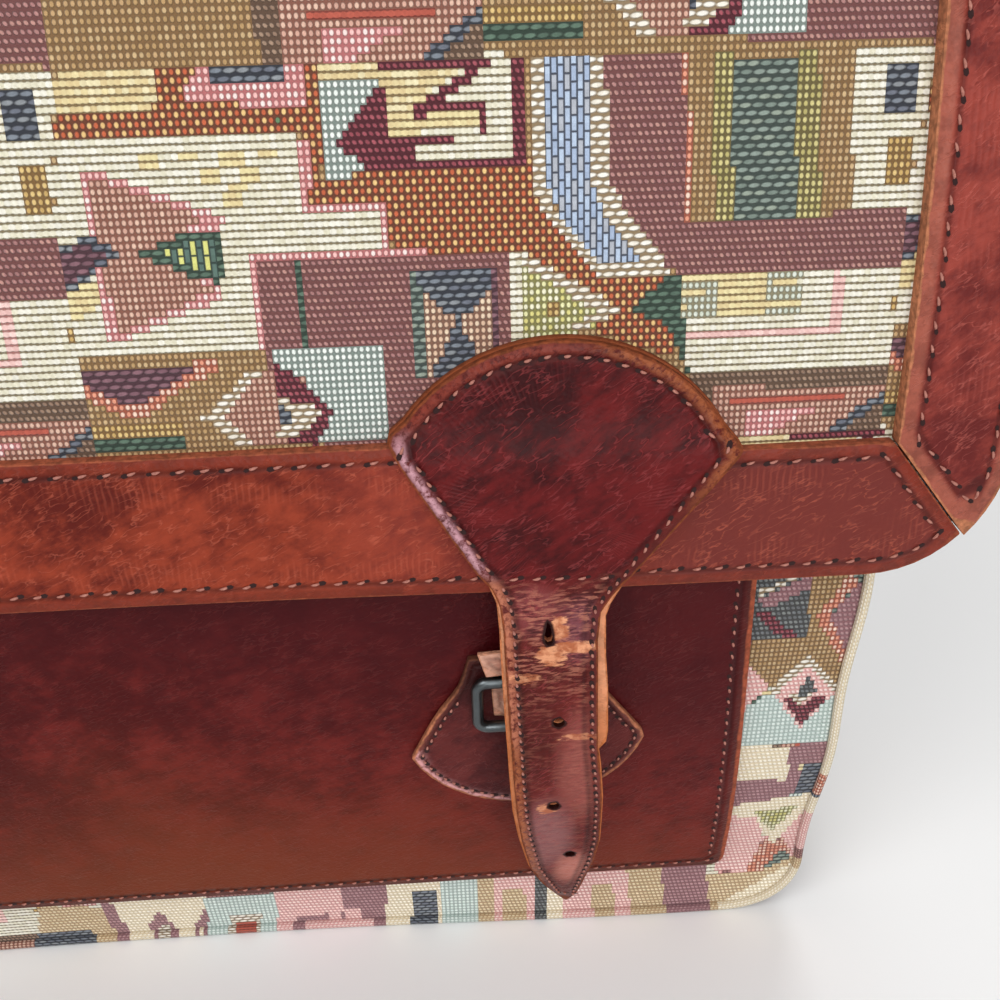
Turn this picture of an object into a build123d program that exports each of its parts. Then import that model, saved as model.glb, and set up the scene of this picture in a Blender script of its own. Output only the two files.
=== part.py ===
from build123d import *
from math import asin, atan2, degrees, sqrt
import os

os.makedirs("parts", exist_ok=True)

# Soft briefcase in millimetres: X runs along the case, -Y is its front, Z is up,
# and the origin is the middle of the bottom.

# Case
body_width = 356.0
body_height = 286.0             # line that the flap's top is laid over
base_depth = 76.0
front_bulge = 22.0              # how far the filled front stands out at half height
back_bulge = 7.0
bottom_corner_radius = 32.0
mouth_drop = 10.0               # open mouth below the flap's top line

# Sheets and how they lie
cloth = 2.0                     # tapestry with its backing
leather = 2.4
thin_leather = 1.6
lining_cloth = 0.8
board = 2.0
lay_gap = 0.3                   # between sheets that lie on each other
flap_gap = 0.8                  # between the flap and the leather that it covers
overrun = 2.0                   # how far cuts and profiles run past the outline

# Edge piping and mouth
piping_width = 3.2
piping_height = 2.5
binding_height = 12.0
board_room = 0.5

# Pocket on the front
pocket_side = 27.0              # bare tapestry at each side
pocket_bottom = 22.0
pocket_top = 196.0
pocket_corner_radius = 4.0

# Flap and its leather border
flap_width = 396.0
flap_edge_height = 132.4        # lower edge above the base
flap_fold_radius = 16.0         # fold from the top to the front
flap_corner_radius = 26.0
flap_setback = 1.5              # layers start this far in front of the hinge
hinge_gap = 0.4
bottom_border = 31.0
side_border = 24.0
mitre_gap = 1.6

# Straps: heights above and drops below the flap's lower edge
strap_share = 0.535             # of the flap's width, between the straps' middles
strap_leather = 3.0
strap_width = 22.5
fan_width = 70.0
fan_shoulder = 32.0
fan_height = 54.0
fan_round = 3.0
neck_round = 12.0
run_shift = 1.6                 # worn run below the head, towards the case's middle
strap_drop = 111.4
point_length = 48.0
tip_lean = 5.6                  # worn straps drift outwards again to their tips
hump_drop = 40.4                # where the strap arches over the buckle
hump_lift = 15.0                # its underside there, from the front panel's face
tip_lift = 4.5
strap_hole = 4.0
point_lean_share = 0.3          # of the tip's drift, reached where the point starts
hole_shares = [(-0.05, 0.083), (0.05, 0.289), (0.02, 0.531), (0.22, 0.723)]  # of width and drop

# Buckle tab, frame and prong
buckle_shift = 5.0              # from the strap's middle towards the case's middle
tab_width = 56.0
tab_top_width = 23.0
tab_top_drop = 21.6
tab_shoulder_drop = 52.4
tab_bottom_drop = 75.4
tab_round = 3.0
bar_drop = 28.4
bar_room = 0.3                  # round the bar, in the loop and in the prong's eye
loop_width = 21.0
loop_web = 0.4
prong_slot = 4.6
wire_sides = 8                  # of the wires' section
frame_wire = 2.8
frame_width = 26.0              # between the middles of its sides
frame_height = 13.6
frame_round = 2.4
prong_wire = 2.2
prong_reach = 2.5               # past the frame's lower bar
eye_width = 3.0
eye_share = 0.25                # of the prong's wire that the eye covers past its middle
prong_tip_share = 0.25          # of the prong's wire, cut off at the tip's edges

# Handle on top of the flap
handle_width = 24.0
handle_leather = 6.0
handle_edge_cut = 1.6
handle_span = 132.0             # between its feet
handle_foot = 34.0
handle_rise = 40.0
handle_run = 26.0               # how far each leg leans in
handle_bend = 20.0

# Curved front and back, as arcs in the YZ plane
crown = body_height / 2
front_radius = (crown**2 + front_bulge**2) / (2 * front_bulge)
front_centre_y = front_radius - base_depth / 2 - front_bulge
back_radius = (crown**2 + back_bulge**2) / (2 * back_bulge)
back_centre_y = base_depth / 2 + back_bulge - back_radius
mouth_height = body_height - mouth_drop
pocket_width = body_width - 2 * pocket_side
reach = base_depth + front_bulge + back_bulge + flap_width / 2

# Layers on the front, measured outwards from the front panel's face
pocket_face = lay_gap + leather
tab_face = pocket_face + lay_gap + thin_leather
flap_inner = pocket_face + flap_gap
flap_cloth_inner = flap_inner + thin_leather + lay_gap
border_inner = flap_cloth_inner + cloth + lay_gap
strap_inner = border_inner + leather + lay_gap

# Fold of the flap: one centre for every layer
fold_centre_z = body_height - flap_fold_radius
fold_centre_y = front_centre_y - sqrt((front_radius - flap_fold_radius)**2 - (fold_centre_z - crown)**2)
fold_angle = degrees(atan2(fold_centre_z - crown, fold_centre_y - front_centre_y))

# Buckle's bar, in front of the tab
strap_x = flap_width * strap_share / 2
run_x = strap_x - run_shift
buckle_x = strap_x - buckle_shift
bar_height = flap_edge_height - bar_drop
bore_radius = frame_wire / 2 + bar_room
loop_radius = bore_radius + thin_leather
bar_offset = tab_face + loop_web + bore_radius
prong_lift = bore_radius + prong_wire / 2
eye_radius = prong_lift + prong_wire * eye_share


def front_y(offset, height):
    return front_centre_y - sqrt((front_radius + offset)**2 - (height - crown)**2)


def back_y(offset, height):
    return back_centre_y + sqrt((back_radius + offset)**2 - (height - crown)**2)


def surface_arc(side_y, offset, low, high):
    middle = (low + high) / 2
    points = [(side_y(offset, height), height) for height in (low, middle, high)]
    return ThreePointArc(*points)


# Closed YZ profile between two offsets of the front or the back
def layer_profile(side_y, inner, outer, low, high):
    with BuildSketch(Plane.YZ) as profile:
        with BuildLine():
            near = surface_arc(side_y, inner, low - overrun, high + overrun)
            far = surface_arc(side_y, outer, low - overrun, high + overrun)
            Line(near @ 0, far @ 0)
            Line(near @ 1, far @ 1)
        make_face()
    return profile.sketch


# Closed YZ profile of the room between the front and the back
def case_profile(inset, low, high):
    with BuildSketch(Plane.YZ) as profile:
        with BuildLine():
            front = surface_arc(front_y, -inset, low, high)
            back = surface_arc(back_y, -inset, low, high)
            Line(front @ 0, back @ 0)
            Line(front @ 1, back @ 1)
        make_face()
    return profile.sketch


# Front view of the case: square at the mouth, round at the bottom corners
def case_outline(inset, low, high):
    with BuildSketch(Plane.XZ) as outline:
        with Locations((0, (low + high) / 2)):
            Rectangle(body_width - 2 * inset, high - low)
        fillet(outline.vertices().group_by(Axis.Y)[0], radius=bottom_corner_radius - inset)
    return outline.sketch


# One edge of the flap's profile: over the top, round the fold and down the front
def flap_edge(offset):
    lower = crown - flap_edge_height + overrun
    end_angle = 180 + degrees(asin(lower / (front_radius + offset)))
    top_z = body_height + offset
    top = Line((flap_start_y, top_z), (fold_centre_y, top_z))
    CenterArc((fold_centre_y, fold_centre_z), flap_fold_radius + offset, 90, fold_angle - 90)
    centre = (front_centre_y, crown)
    front = CenterArc(centre, front_radius + offset, fold_angle, end_angle - fold_angle)
    return top @ 0, front @ 1


def flap_profile(inner, outer):
    with BuildSketch(Plane.YZ) as profile:
        with BuildLine():
            near = flap_edge(inner)
            far = flap_edge(outer)
            Line(near[0], far[0])
            Line(near[1], far[1])
        make_face()
    return profile.sketch


# Front view of the flap
def flap_outline():
    high = body_height + strap_inner + overrun
    with BuildSketch(Plane.XZ) as outline:
        with Locations((0, (flap_edge_height + high) / 2)):
            Rectangle(flap_width, high - flap_edge_height)
        fillet(outline.vertices().group_by(Axis.Y)[0], radius=flap_corner_radius)
    return outline.sketch


# Hinge of the flap at the top of the back, and where the flap's layers start
hinge_y = back_y(0, body_height)
hinge_z = body_height + flap_inner - hinge_gap / 2
flap_start_y = hinge_y - flap_setback

# Tapestry case
with BuildPart() as front_panel:
    extrude(layer_profile(front_y, -cloth, 0, 0, mouth_height), amount=body_width, both=True)
    extrude(case_outline(0, 0, mouth_height), amount=reach, both=True, mode=Mode.INTERSECT)
front_panel.part.label = "front_panel"

back_top = hinge_z - hinge_gap / 2
with BuildPart() as back_panel:
    extrude(layer_profile(back_y, -cloth, 0, 0, back_top), amount=body_width, both=True)
    extrude(case_outline(0, 0, back_top), amount=reach, both=True, mode=Mode.INTERSECT)
back_panel.part.label = "back_panel"

# Gusset: one strip down one side, along the bottom and up the other side
case_inset = cloth + lay_gap
with BuildPart() as gusset:
    extrude(case_outline(0, 0, mouth_height), amount=reach, both=True)
    inside = case_outline(cloth, cloth, mouth_height + overrun)
    extrude(inside, amount=reach, both=True, mode=Mode.SUBTRACT)
    between = case_profile(case_inset, -overrun, mouth_height + overrun)
    extrude(between, amount=body_width, both=True, mode=Mode.INTERSECT)
gusset.part.label = "gusset"

with BuildPart() as base_board:
    with BuildSketch(Plane.XY.offset(case_inset)):
        Rectangle(body_width - 2 * bottom_corner_radius, base_depth - 2 * (case_inset + board_room))
    extrude(amount=board)
base_board.part.label = "base_board"

# Lining: an open bag inside the case, on top of the board
lining_low = case_inset + board + lay_gap
lining_high = mouth_height - lay_gap
lining_inset = case_inset + lining_cloth
with BuildPart() as lining_room:
    extrude(case_outline(lining_inset, lining_low + lining_cloth, mouth_height), amount=reach, both=True)
    room = case_profile(lining_inset, 0, mouth_height)
    extrude(room, amount=body_width, both=True, mode=Mode.INTERSECT)
with BuildPart() as lining:
    extrude(case_outline(case_inset, lining_low, lining_high), amount=reach, both=True)
    hull = case_profile(case_inset, 0, mouth_height)
    extrude(hull, amount=body_width, both=True, mode=Mode.INTERSECT)
    add(lining_room.part, mode=Mode.SUBTRACT)
lining.part.label = "lining"


# Piping: a cord covered in tapestry along the seam of a panel
def piping_tools(side_y):
    profile = layer_profile(side_y, lay_gap, lay_gap + piping_height, 0, mouth_height)
    outside = case_outline(0, 0, mouth_height)
    inside = case_outline(piping_width, piping_width, mouth_height + overrun)
    return profile, outside, inside


profile, outside, inside = piping_tools(front_y)
with BuildPart() as front_piping:
    extrude(profile, amount=body_width, both=True)
    extrude(outside, amount=reach, both=True, mode=Mode.INTERSECT)
    extrude(inside, amount=reach, both=True, mode=Mode.SUBTRACT)
front_piping.part.label = "front_piping"

profile, outside, inside = piping_tools(back_y)
with BuildPart() as back_piping:
    extrude(profile, amount=body_width, both=True)
    extrude(outside, amount=reach, both=True, mode=Mode.INTERSECT)
    extrude(inside, amount=reach, both=True, mode=Mode.SUBTRACT)
back_piping.part.label = "back_piping"

# Leather edge along the front panel's mouth
with BuildPart() as mouth_binding:
    face = lay_gap + thin_leather
    extrude(layer_profile(front_y, lay_gap, face, 0, mouth_height), amount=body_width, both=True)
    with BuildSketch(Plane.XZ) as binding_outline:
        with Locations((0, mouth_height - binding_height / 2)):
            Rectangle(body_width - 2 * (piping_width + lay_gap), binding_height)
    extrude(amount=reach, both=True, mode=Mode.INTERSECT)
mouth_binding.part.label = "mouth_binding"

with BuildPart() as front_pocket:
    extrude(layer_profile(front_y, lay_gap, pocket_face, 0, mouth_height), amount=body_width, both=True)
    with BuildSketch(Plane.XZ) as pocket_outline:
        with Locations((0, (pocket_bottom + pocket_top) / 2)):
            Rectangle(pocket_width, pocket_top - pocket_bottom)
        fillet(pocket_outline.vertices(), radius=pocket_corner_radius)
    extrude(amount=reach, both=True, mode=Mode.INTERSECT)
front_pocket.part.label = "front_pocket"

# Flap: lining, tapestry and the three border strips, mitred at the corners
with BuildPart() as flap_lining:
    extrude(flap_profile(flap_inner, flap_inner + thin_leather), amount=flap_width, both=True)
    extrude(flap_outline(), amount=reach, both=True, mode=Mode.INTERSECT)
flap_lining.part.label = "flap_lining"

with BuildPart() as flap_panel:
    extrude(flap_profile(flap_cloth_inner, flap_cloth_inner + cloth), amount=flap_width, both=True)
    extrude(flap_outline(), amount=reach, both=True, mode=Mode.INTERSECT)
flap_panel.part.label = "flap_panel"

border_profile = flap_profile(border_inner, border_inner + leather)
mitre_top = flap_edge_height + bottom_border
flap_side = flap_width / 2
mitre_inner = flap_side - side_border
with BuildPart() as flap_border_bottom:
    extrude(border_profile, amount=flap_width, both=True)
    extrude(flap_outline(), amount=reach, both=True, mode=Mode.INTERSECT)
    with BuildSketch(Plane.XZ):
        with BuildLine():
            low_x = flap_side - mitre_gap
            high_x = mitre_inner - mitre_gap
            low_z = flap_edge_height
            Polyline((-low_x, low_z), (low_x, low_z), (high_x, mitre_top), (-high_x, mitre_top), close=True)
        make_face()
    extrude(amount=reach, both=True, mode=Mode.INTERSECT)
flap_border_bottom.part.label = "flap_border_bottom"

with BuildPart() as flap_border_right:
    extrude(border_profile, amount=flap_width, both=True)
    extrude(flap_outline(), amount=reach, both=True, mode=Mode.INTERSECT)
    with BuildSketch(Plane.XZ):
        with BuildLine():
            high_z = body_height + strap_inner + overrun
            side_low = (flap_side, flap_edge_height)
            Polyline(side_low, (flap_side, high_z), (mitre_inner, high_z), (mitre_inner, mitre_top), close=True)
        make_face()
    extrude(amount=reach, both=True, mode=Mode.INTERSECT)
flap_border_right.part.label = "flap_border_right"

with BuildPart() as flap_border_left:
    mirror(flap_border_right.part, about=Plane.YZ)
flap_border_left.part.label = "flap_border_left"


# One face of the strap's profile: flat on the border, then arched over the buckle
def strap_edge(lift):
    head_top = flap_edge_height + fan_height + overrun
    head = surface_arc(front_y, strap_inner + lift, flap_edge_height, head_top)
    hump_z = flap_edge_height - hump_drop
    tip_z = flap_edge_height - strap_drop - overrun
    hump = (front_y(hump_lift + lift, hump_z), hump_z)
    tail = ThreePointArc(head @ 0, hump, (front_y(tip_lift + lift, tip_z), tip_z))
    return head @ 1, tail @ 1


# Strap: a fan head sewn on the flap, a straight run and a pointed end
with BuildPart() as right_strap:
    with BuildSketch(Plane.YZ):
        with BuildLine():
            under = strap_edge(0)
            over = strap_edge(strap_leather)
            Line(under[0], over[0])
            Line(under[1], over[1])
        make_face()
    extrude(amount=flap_width, both=True)
    with BuildSketch(Plane.XZ) as strap_outline:
        with BuildLine():
            left_x = run_x - strap_width / 2
            right_x = run_x + strap_width / 2
            shoulder_z = flap_edge_height + fan_shoulder
            left_shoulder = (strap_x - fan_width / 2, shoulder_z)
            right_shoulder = (strap_x + fan_width / 2, shoulder_z)
            tip = (run_x + tip_lean, flap_edge_height - strap_drop)
            point_z = flap_edge_height - strap_drop + point_length
            lean = tip_lean * point_lean_share
            run = (lean, point_z - flap_edge_height)
            right_point = (right_x + lean, point_z)
            left_point = (left_x + lean, point_z)
            ThreePointArc(left_shoulder, (strap_x, flap_edge_height + fan_height), right_shoulder)
            Polyline(right_shoulder, (right_x, flap_edge_height), right_point)
            TangentArc(right_point, tip, tangent=run)
            TangentArc(left_point, tip, tangent=run)
            Polyline(left_point, (left_x, flap_edge_height), left_shoulder)
        make_face()
        corners = strap_outline.vertices().group_by(Axis.Y)
        fillet(corners[-1], radius=fan_round)
        fillet(strap_outline.vertices().group_by(Axis.Y)[2], radius=neck_round)
    extrude(amount=reach, both=True, mode=Mode.INTERSECT)
    with BuildSketch(Plane.XZ):
        for across_share, down_share in hole_shares:
            hole_x = run_x + across_share * strap_width
            with Locations((hole_x, flap_edge_height - down_share * strap_drop)):
                Circle(strap_hole / 2)
    extrude(amount=reach, both=True, mode=Mode.SUBTRACT)
right_strap.part.label = "right_strap"

with BuildPart() as left_strap:
    mirror(right_strap.part, about=Plane.YZ)
left_strap.part.label = "left_strap"

# Plane of the buckle: its bar is local X, down the front is local -Y
bar_y = front_y(bar_offset, bar_height)
outward = Vector(0, bar_y - front_centre_y, bar_height - crown).normalized()
frame_plane = Plane((buckle_x, bar_y, bar_height), x_dir=(1, 0, 0), z_dir=outward)
prong_plane = Plane((strap_x, bar_y, bar_height), x_dir=(1, 0, 0), z_dir=outward)

# Buckle tab: fan-shaped leather on the pocket, with a loop round the bar
with BuildPart() as right_buckle_tab:
    tab_inner = pocket_face + lay_gap
    extrude(layer_profile(front_y, tab_inner, tab_face, 0, mouth_height), amount=flap_width, both=True)
    with BuildSketch(Plane.XZ) as tab_outline:
        with BuildLine():
            top_z = flap_edge_height - tab_top_drop
            shoulder_z = flap_edge_height - tab_shoulder_drop
            left_top = (buckle_x - tab_top_width / 2, top_z)
            right_top = (buckle_x + tab_top_width / 2, top_z)
            left_shoulder = (buckle_x - tab_width / 2, shoulder_z)
            right_shoulder = (buckle_x + tab_width / 2, shoulder_z)
            Polyline(left_shoulder, left_top, right_top, right_shoulder)
            ThreePointArc(left_shoulder, (buckle_x, flap_edge_height - tab_bottom_drop), right_shoulder)
        make_face()
        fillet(tab_outline.vertices(), radius=tab_round)
    extrude(amount=reach, both=True, mode=Mode.INTERSECT)
    bar_section = Plane(frame_plane.origin, x_dir=outward, z_dir=(1, 0, 0))
    with BuildSketch(bar_section):
        Circle(loop_radius)
    extrude(amount=loop_width / 2, both=True)
    with BuildSketch(bar_section):
        Circle(bore_radius)
    extrude(amount=loop_width, both=True, mode=Mode.SUBTRACT)
    with BuildSketch(Plane.XZ):
        with Locations((strap_x, bar_height)):
            Rectangle(prong_slot, 2 * (eye_radius + bar_room + thin_leather))
    extrude(amount=reach, both=True, mode=Mode.SUBTRACT)
right_buckle_tab.part.label = "right_buckle_tab"

with BuildPart() as left_buckle_tab:
    mirror(right_buckle_tab.part, about=Plane.YZ)
left_buckle_tab.part.label = "left_buckle_tab"

# Buckle frame: a bent wire ring that hangs from its upper bar
with BuildPart() as right_buckle_frame:
    with BuildLine(frame_plane):
        side = frame_width / 2
        ring = [(-side, 0), (side, 0), (side, -frame_height), (-side, -frame_height)]
        frame_line = FilletPolyline(*ring, radius=frame_round, close=True)
    with BuildSketch(Plane(frame_line @ 0, z_dir=frame_line % 0)):
        RegularPolygon(frame_wire / 2, wire_sides)
    sweep(path=frame_line)
right_buckle_frame.part.label = "right_buckle_frame"

with BuildPart() as left_buckle_frame:
    mirror(right_buckle_frame.part, about=Plane.YZ)
left_buckle_frame.part.label = "left_buckle_frame"

# Prong: an eye round the bar and a shaft that rests on the frame's lower bar
with BuildPart() as right_buckle_prong:
    with BuildSketch(Plane(prong_plane.origin, x_dir=outward, z_dir=(1, 0, 0))):
        Circle(eye_radius)
        Circle(bore_radius, mode=Mode.SUBTRACT)
    extrude(amount=eye_width / 2, both=True)
    shaft_start = prong_plane.origin + outward * prong_lift
    with BuildSketch(Plane(shaft_start, x_dir=(1, 0, 0), z_dir=prong_plane.y_dir * -1)):
        RegularPolygon(prong_wire / 2, wire_sides)
    extrude(amount=frame_height + frame_wire / 2 + prong_reach)
    tip_face = right_buckle_prong.faces().sort_by(Axis.Z)[0]
    chamfer(tip_face.edges(), length=prong_wire * prong_tip_share)
right_buckle_prong.part.label = "right_buckle_prong"

with BuildPart() as left_buckle_prong:
    mirror(right_buckle_prong.part, about=Plane.YZ)
left_buckle_prong.part.label = "left_buckle_prong"

# Handle: one thick leather strip, its feet sewn flat on the flap's top
handle_y = (fold_centre_y + flap_start_y) / 2
with BuildPart() as handle:
    foot_z = body_height + flap_cloth_inner + cloth + lay_gap + handle_leather / 2
    grip_z = foot_z + handle_rise
    bend_x = handle_span / 2
    foot_x = bend_x + handle_foot
    grip_x = bend_x - handle_run
    with BuildLine(Plane.XZ.offset(-handle_y)):
        left_half = [(-foot_x, foot_z), (-bend_x, foot_z), (-grip_x, grip_z)]
        right_half = [(grip_x, grip_z), (bend_x, foot_z), (foot_x, foot_z)]
        handle_line = FilletPolyline(*left_half, *right_half, radius=handle_bend)
    with BuildSketch(Plane(handle_line @ 0, x_dir=(0, 1, 0), z_dir=handle_line % 0)):
        handle_section = Rectangle(handle_width, handle_leather)
        chamfer(handle_section.vertices(), length=handle_edge_cut)
    sweep(path=handle_line)
handle.part.label = "handle"

pieces = [
    front_panel, back_panel, gusset, base_board, lining, front_piping, back_piping, mouth_binding,
    front_pocket, right_buckle_tab, left_buckle_tab, right_buckle_frame, left_buckle_frame,
    right_buckle_prong, left_buckle_prong, flap_lining, flap_panel, flap_border_bottom,
    flap_border_right, flap_border_left, right_strap, left_strap, handle,
]
for piece in pieces:
    export_step(piece.part, f"parts/{piece.part.label}.step")

print("flap hinge", round(hinge_y, 2), round(hinge_z, 2))
print("buckle bar", round(bar_y, 2), round(bar_height, 2))
print("handle", round(handle_y, 2), "to", round(grip_z + handle_leather / 2, 2))
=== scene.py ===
import bpy
import bmesh
import math
import numpy as np
from mathutils import Matrix, Vector


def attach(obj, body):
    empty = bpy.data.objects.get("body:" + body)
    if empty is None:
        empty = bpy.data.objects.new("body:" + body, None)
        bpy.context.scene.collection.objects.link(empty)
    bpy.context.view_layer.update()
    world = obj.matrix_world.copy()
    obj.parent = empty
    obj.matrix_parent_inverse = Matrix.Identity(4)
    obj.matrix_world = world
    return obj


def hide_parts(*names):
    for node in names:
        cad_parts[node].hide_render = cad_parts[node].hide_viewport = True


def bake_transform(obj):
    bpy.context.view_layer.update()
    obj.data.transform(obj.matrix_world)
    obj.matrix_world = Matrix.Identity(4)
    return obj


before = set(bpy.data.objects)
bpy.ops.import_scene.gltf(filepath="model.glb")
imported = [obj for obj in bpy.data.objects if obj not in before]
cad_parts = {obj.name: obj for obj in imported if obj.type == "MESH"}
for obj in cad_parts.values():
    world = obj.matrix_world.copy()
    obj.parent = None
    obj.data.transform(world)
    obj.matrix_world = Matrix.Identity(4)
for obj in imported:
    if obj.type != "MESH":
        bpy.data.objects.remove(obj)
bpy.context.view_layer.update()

scene = bpy.context.scene
dice = np.random.default_rng(11)

# Shape of the case in metres, as in the frame
case = {"width": 0.356, "height": 0.286, "depth": 0.076, "mouth": 0.276, "corner": 0.021, "frontBulge": 0.022,
        "backBulge": 0.007, "foldRadius": 0.016}
flap = {"width": 0.396, "edge": 0.1324, "corner": 0.026, "hingeY": 0.038, "hingeZ": 0.2893,
        "leatherShort": 0.0015}
crown = case["height"] / 2
frontRadius = (crown ** 2 + case["frontBulge"] ** 2) / (2 * case["frontBulge"])
frontCentre = frontRadius - case["depth"] / 2 - case["frontBulge"]
backRadius = (crown ** 2 + case["backBulge"] ** 2) / (2 * case["backBulge"])
backCentre = case["depth"] / 2 + case["backBulge"] - backRadius
foldZ = case["height"] - case["foldRadius"]
foldY = frontCentre - math.sqrt((frontRadius - case["foldRadius"]) ** 2 - (foldZ - crown) ** 2)
foldTurn = math.atan2(foldZ - crown, frontCentre - foldY)

# Layers on the front, measured outwards from the front panel's face
layers = {"pocket": (0.0003, 0.0027), "binding": (0.0003, 0.0019), "tab": (0.003, 0.0046),
          "flapLining": (0.0035, 0.0051), "flapCloth": 0.0074, "border": (0.0053, 0.0101), "strap": 0.0104,
          "strapOnCloth": 0.0076}

# Sag of the soft case
slump = {"high": 0.026, "least": 0.0016, "more": 0.0028, "from": 0.02, "to": 0.15, "ripple": 0.0006,
         "rippleRate": 118, "rippleFrom": 0.8}


def smooth(value, low, high):
    share = np.clip((value - low) / (high - low), 0, 1)
    return share * share * (3 - 2 * share)


def slumped(points):  # the soft case spreads at the front of its base, and its sides ripple
    x, y, z = points[:, 0], points[:, 1], points[:, 2]
    spread = slump["least"] + slump["more"] * smooth(np.abs(x), slump["from"], slump["to"])
    forward = smooth(-y, -case["depth"] / 2, case["depth"] / 2) * (1 - smooth(z, 0, slump["high"]))
    half = case["width"] / 2
    atSide = smooth(np.abs(x), slump["rippleFrom"] * half, half)
    ripple = slump["ripple"] * np.sin(slump["rippleRate"] * z) * atSide
    return np.stack([x + np.sign(x) * ripple, y - spread * forward, z], axis=-1)


def frontY(offset, z):
    return frontCentre - np.sqrt((frontRadius + offset) ** 2 - (z - crown) ** 2)


def backY(offset, z):
    return backCentre + np.sqrt((backRadius + offset) ** 2 - (z - crown) ** 2)


def onFront(x, t, offset):
    return np.stack([x, frontY(offset, t), t], axis=-1)


def flapStations(ref):
    fold = crown + (frontRadius + ref) * math.sin(foldTurn)
    top = fold + (case["foldRadius"] + ref) * (math.pi / 2 - foldTurn)
    return fold, top


def thicknessOf(layer):
    return layers[layer][1] - layers[layer][0]


def leatherTop(ref):  # where the flap's leather ends, just short of the hinge
    return flapStations(ref)[1] + flap["hingeY"] - flap["leatherShort"] - foldY


def onFlap(x, t, offset, ref):  # t: height up the front, then the way round the fold and along the top
    fold, top = flapStations(ref)
    angle = np.arcsin((np.minimum(t, fold) - crown) / (frontRadius + ref))
    bend = foldTurn + np.clip(t - fold, 0, top - fold) / (case["foldRadius"] + ref)
    onFold = t > fold
    y = np.where(onFold, foldY - (case["foldRadius"] + offset) * np.cos(bend),
                 frontCentre - (frontRadius + offset) * np.cos(angle))
    z = np.where(onFold, foldZ + (case["foldRadius"] + offset) * np.sin(bend),
                 crown + (frontRadius + offset) * np.sin(angle))
    return np.stack([x, y + np.maximum(t - top, 0), z], axis=-1)


# Camera of the photo
photoCamera = {"place": (0.0839, -0.2620, 0.2579), "azimuth": 2.98, "elevation": 28.48, "roll": -1.32,
               "focal": 1088.9, "size": 1000, "sensor": 36, "nearest": 0.01}
azimuth, elevation, roll = (math.radians(photoCamera[k]) for k in ("azimuth", "elevation", "roll"))
cameraForward = Vector((math.sin(azimuth) * math.cos(elevation), math.cos(azimuth) * math.cos(elevation),
                        -math.sin(elevation)))
level = cameraForward.cross(Vector((0, 0, 1))).normalized()
upright = level.cross(cameraForward)
cameraRight = math.cos(roll) * level + math.sin(roll) * upright
cameraUp = -math.sin(roll) * level + math.cos(roll) * upright


def onArc(px, py, centreY, centreZ, radius):  # pixel of the photo to (x, height) on a round that runs along X
    half = photoCamera["size"] / 2
    ray = cameraForward + ((px - half) * cameraRight - (py - half) * cameraUp) / photoCamera["focal"]
    startY = photoCamera["place"][1] - centreY
    startZ = photoCamera["place"][2] - centreZ
    a = ray.y ** 2 + ray.z ** 2
    b = startY * ray.y + startZ * ray.z
    c = startY ** 2 + startZ ** 2 - radius ** 2
    way = (-b - math.sqrt(max(b * b - a * c, 0))) / a
    return photoCamera["place"][0] + way * ray.x, photoCamera["place"][2] + way * ray.z


def fromPhoto(px, py, offset):  # the same on the front, at that offset
    return onArc(px, py, frontCentre, crown, frontRadius + offset)


# Material helpers
def linear(colour):
    return [((v / 255 + 0.055) / 1.055) ** 2.4 if v > 10 else v / 3295 for v in colour]


def newMaterial(name):
    material = bpy.data.materials.new(name)
    material.use_nodes = True
    tree = material.node_tree
    return material, tree, tree.nodes["Principled BSDF"]


def plainMaterial(name, colour, roughness):
    material, tree, surface = newMaterial(name)
    plug(surface.inputs["Base Color"], (*colour, 1))
    plug(surface.inputs["Roughness"], roughness)
    return material


def plug(socket, value):  # a link from another socket, or a plain value
    if isinstance(value, bpy.types.NodeSocket):
        socket.id_data.links.new(value, socket)
    else:
        socket.default_value = value


def treeOf(*values):  # the node tree of the first socket among them
    return next(v.id_data for v in values if isinstance(v, bpy.types.NodeSocket))


def calc(operation, *values, clamp=False):
    node = treeOf(*values).nodes.new("ShaderNodeMath")
    node.operation = operation
    node.use_clamp = clamp
    for socket, value in zip(node.inputs, values):
        plug(socket, value)
    return node.outputs[0]


def plus(*values, clamp=False):
    return calc("ADD", *values, clamp=clamp)


def less(*values, clamp=False):
    return calc("SUBTRACT", *values, clamp=clamp)


def times(*values, clamp=False):
    return calc("MULTIPLY", *values, clamp=clamp)


def ramp(value, low, high):  # smooth step from low to high
    node = treeOf(value).nodes.new("ShaderNodeMapRange")
    node.interpolation_type = "SMOOTHSTEP"
    plug(node.inputs["Value"], value)
    node.inputs["From Min"].default_value = low
    node.inputs["From Max"].default_value = high
    return node.outputs["Result"]


def tint(factor, first, second, blend="MIX"):
    node = treeOf(factor, first, second).nodes.new("ShaderNodeMix")
    node.data_type = "RGBA"
    node.blend_type = blend
    plug(node.inputs[0], factor)
    for socket, value in ((node.inputs[6], first), (node.inputs[7], second)):
        plug(socket, (*value, 1) if isinstance(value, (list, tuple)) and len(value) == 3 else value)
    return node.outputs[2]


def readAttribute(tree, name, output="Fac"):
    node = tree.nodes.new("ShaderNodeAttribute")
    node.attribute_name = name
    return node.outputs[output]


def objectPlace(tree, scale=(1, 1, 1)):
    place = tree.nodes.new("ShaderNodeTexCoord").outputs["Object"]
    if scale == (1, 1, 1):
        return place
    mapping = tree.nodes.new("ShaderNodeMapping")
    mapping.inputs["Scale"].default_value = scale
    plug(mapping.inputs["Vector"], place)
    return mapping.outputs["Vector"]


def noise(vector, scale, detail=3.0, roughness=0.5):
    node = treeOf(vector).nodes.new("ShaderNodeTexNoise")
    plug(node.inputs["Vector"], vector)
    node.inputs["Scale"].default_value = scale
    node.inputs["Detail"].default_value = detail
    node.inputs["Roughness"].default_value = roughness
    return node.outputs["Fac"]


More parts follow.
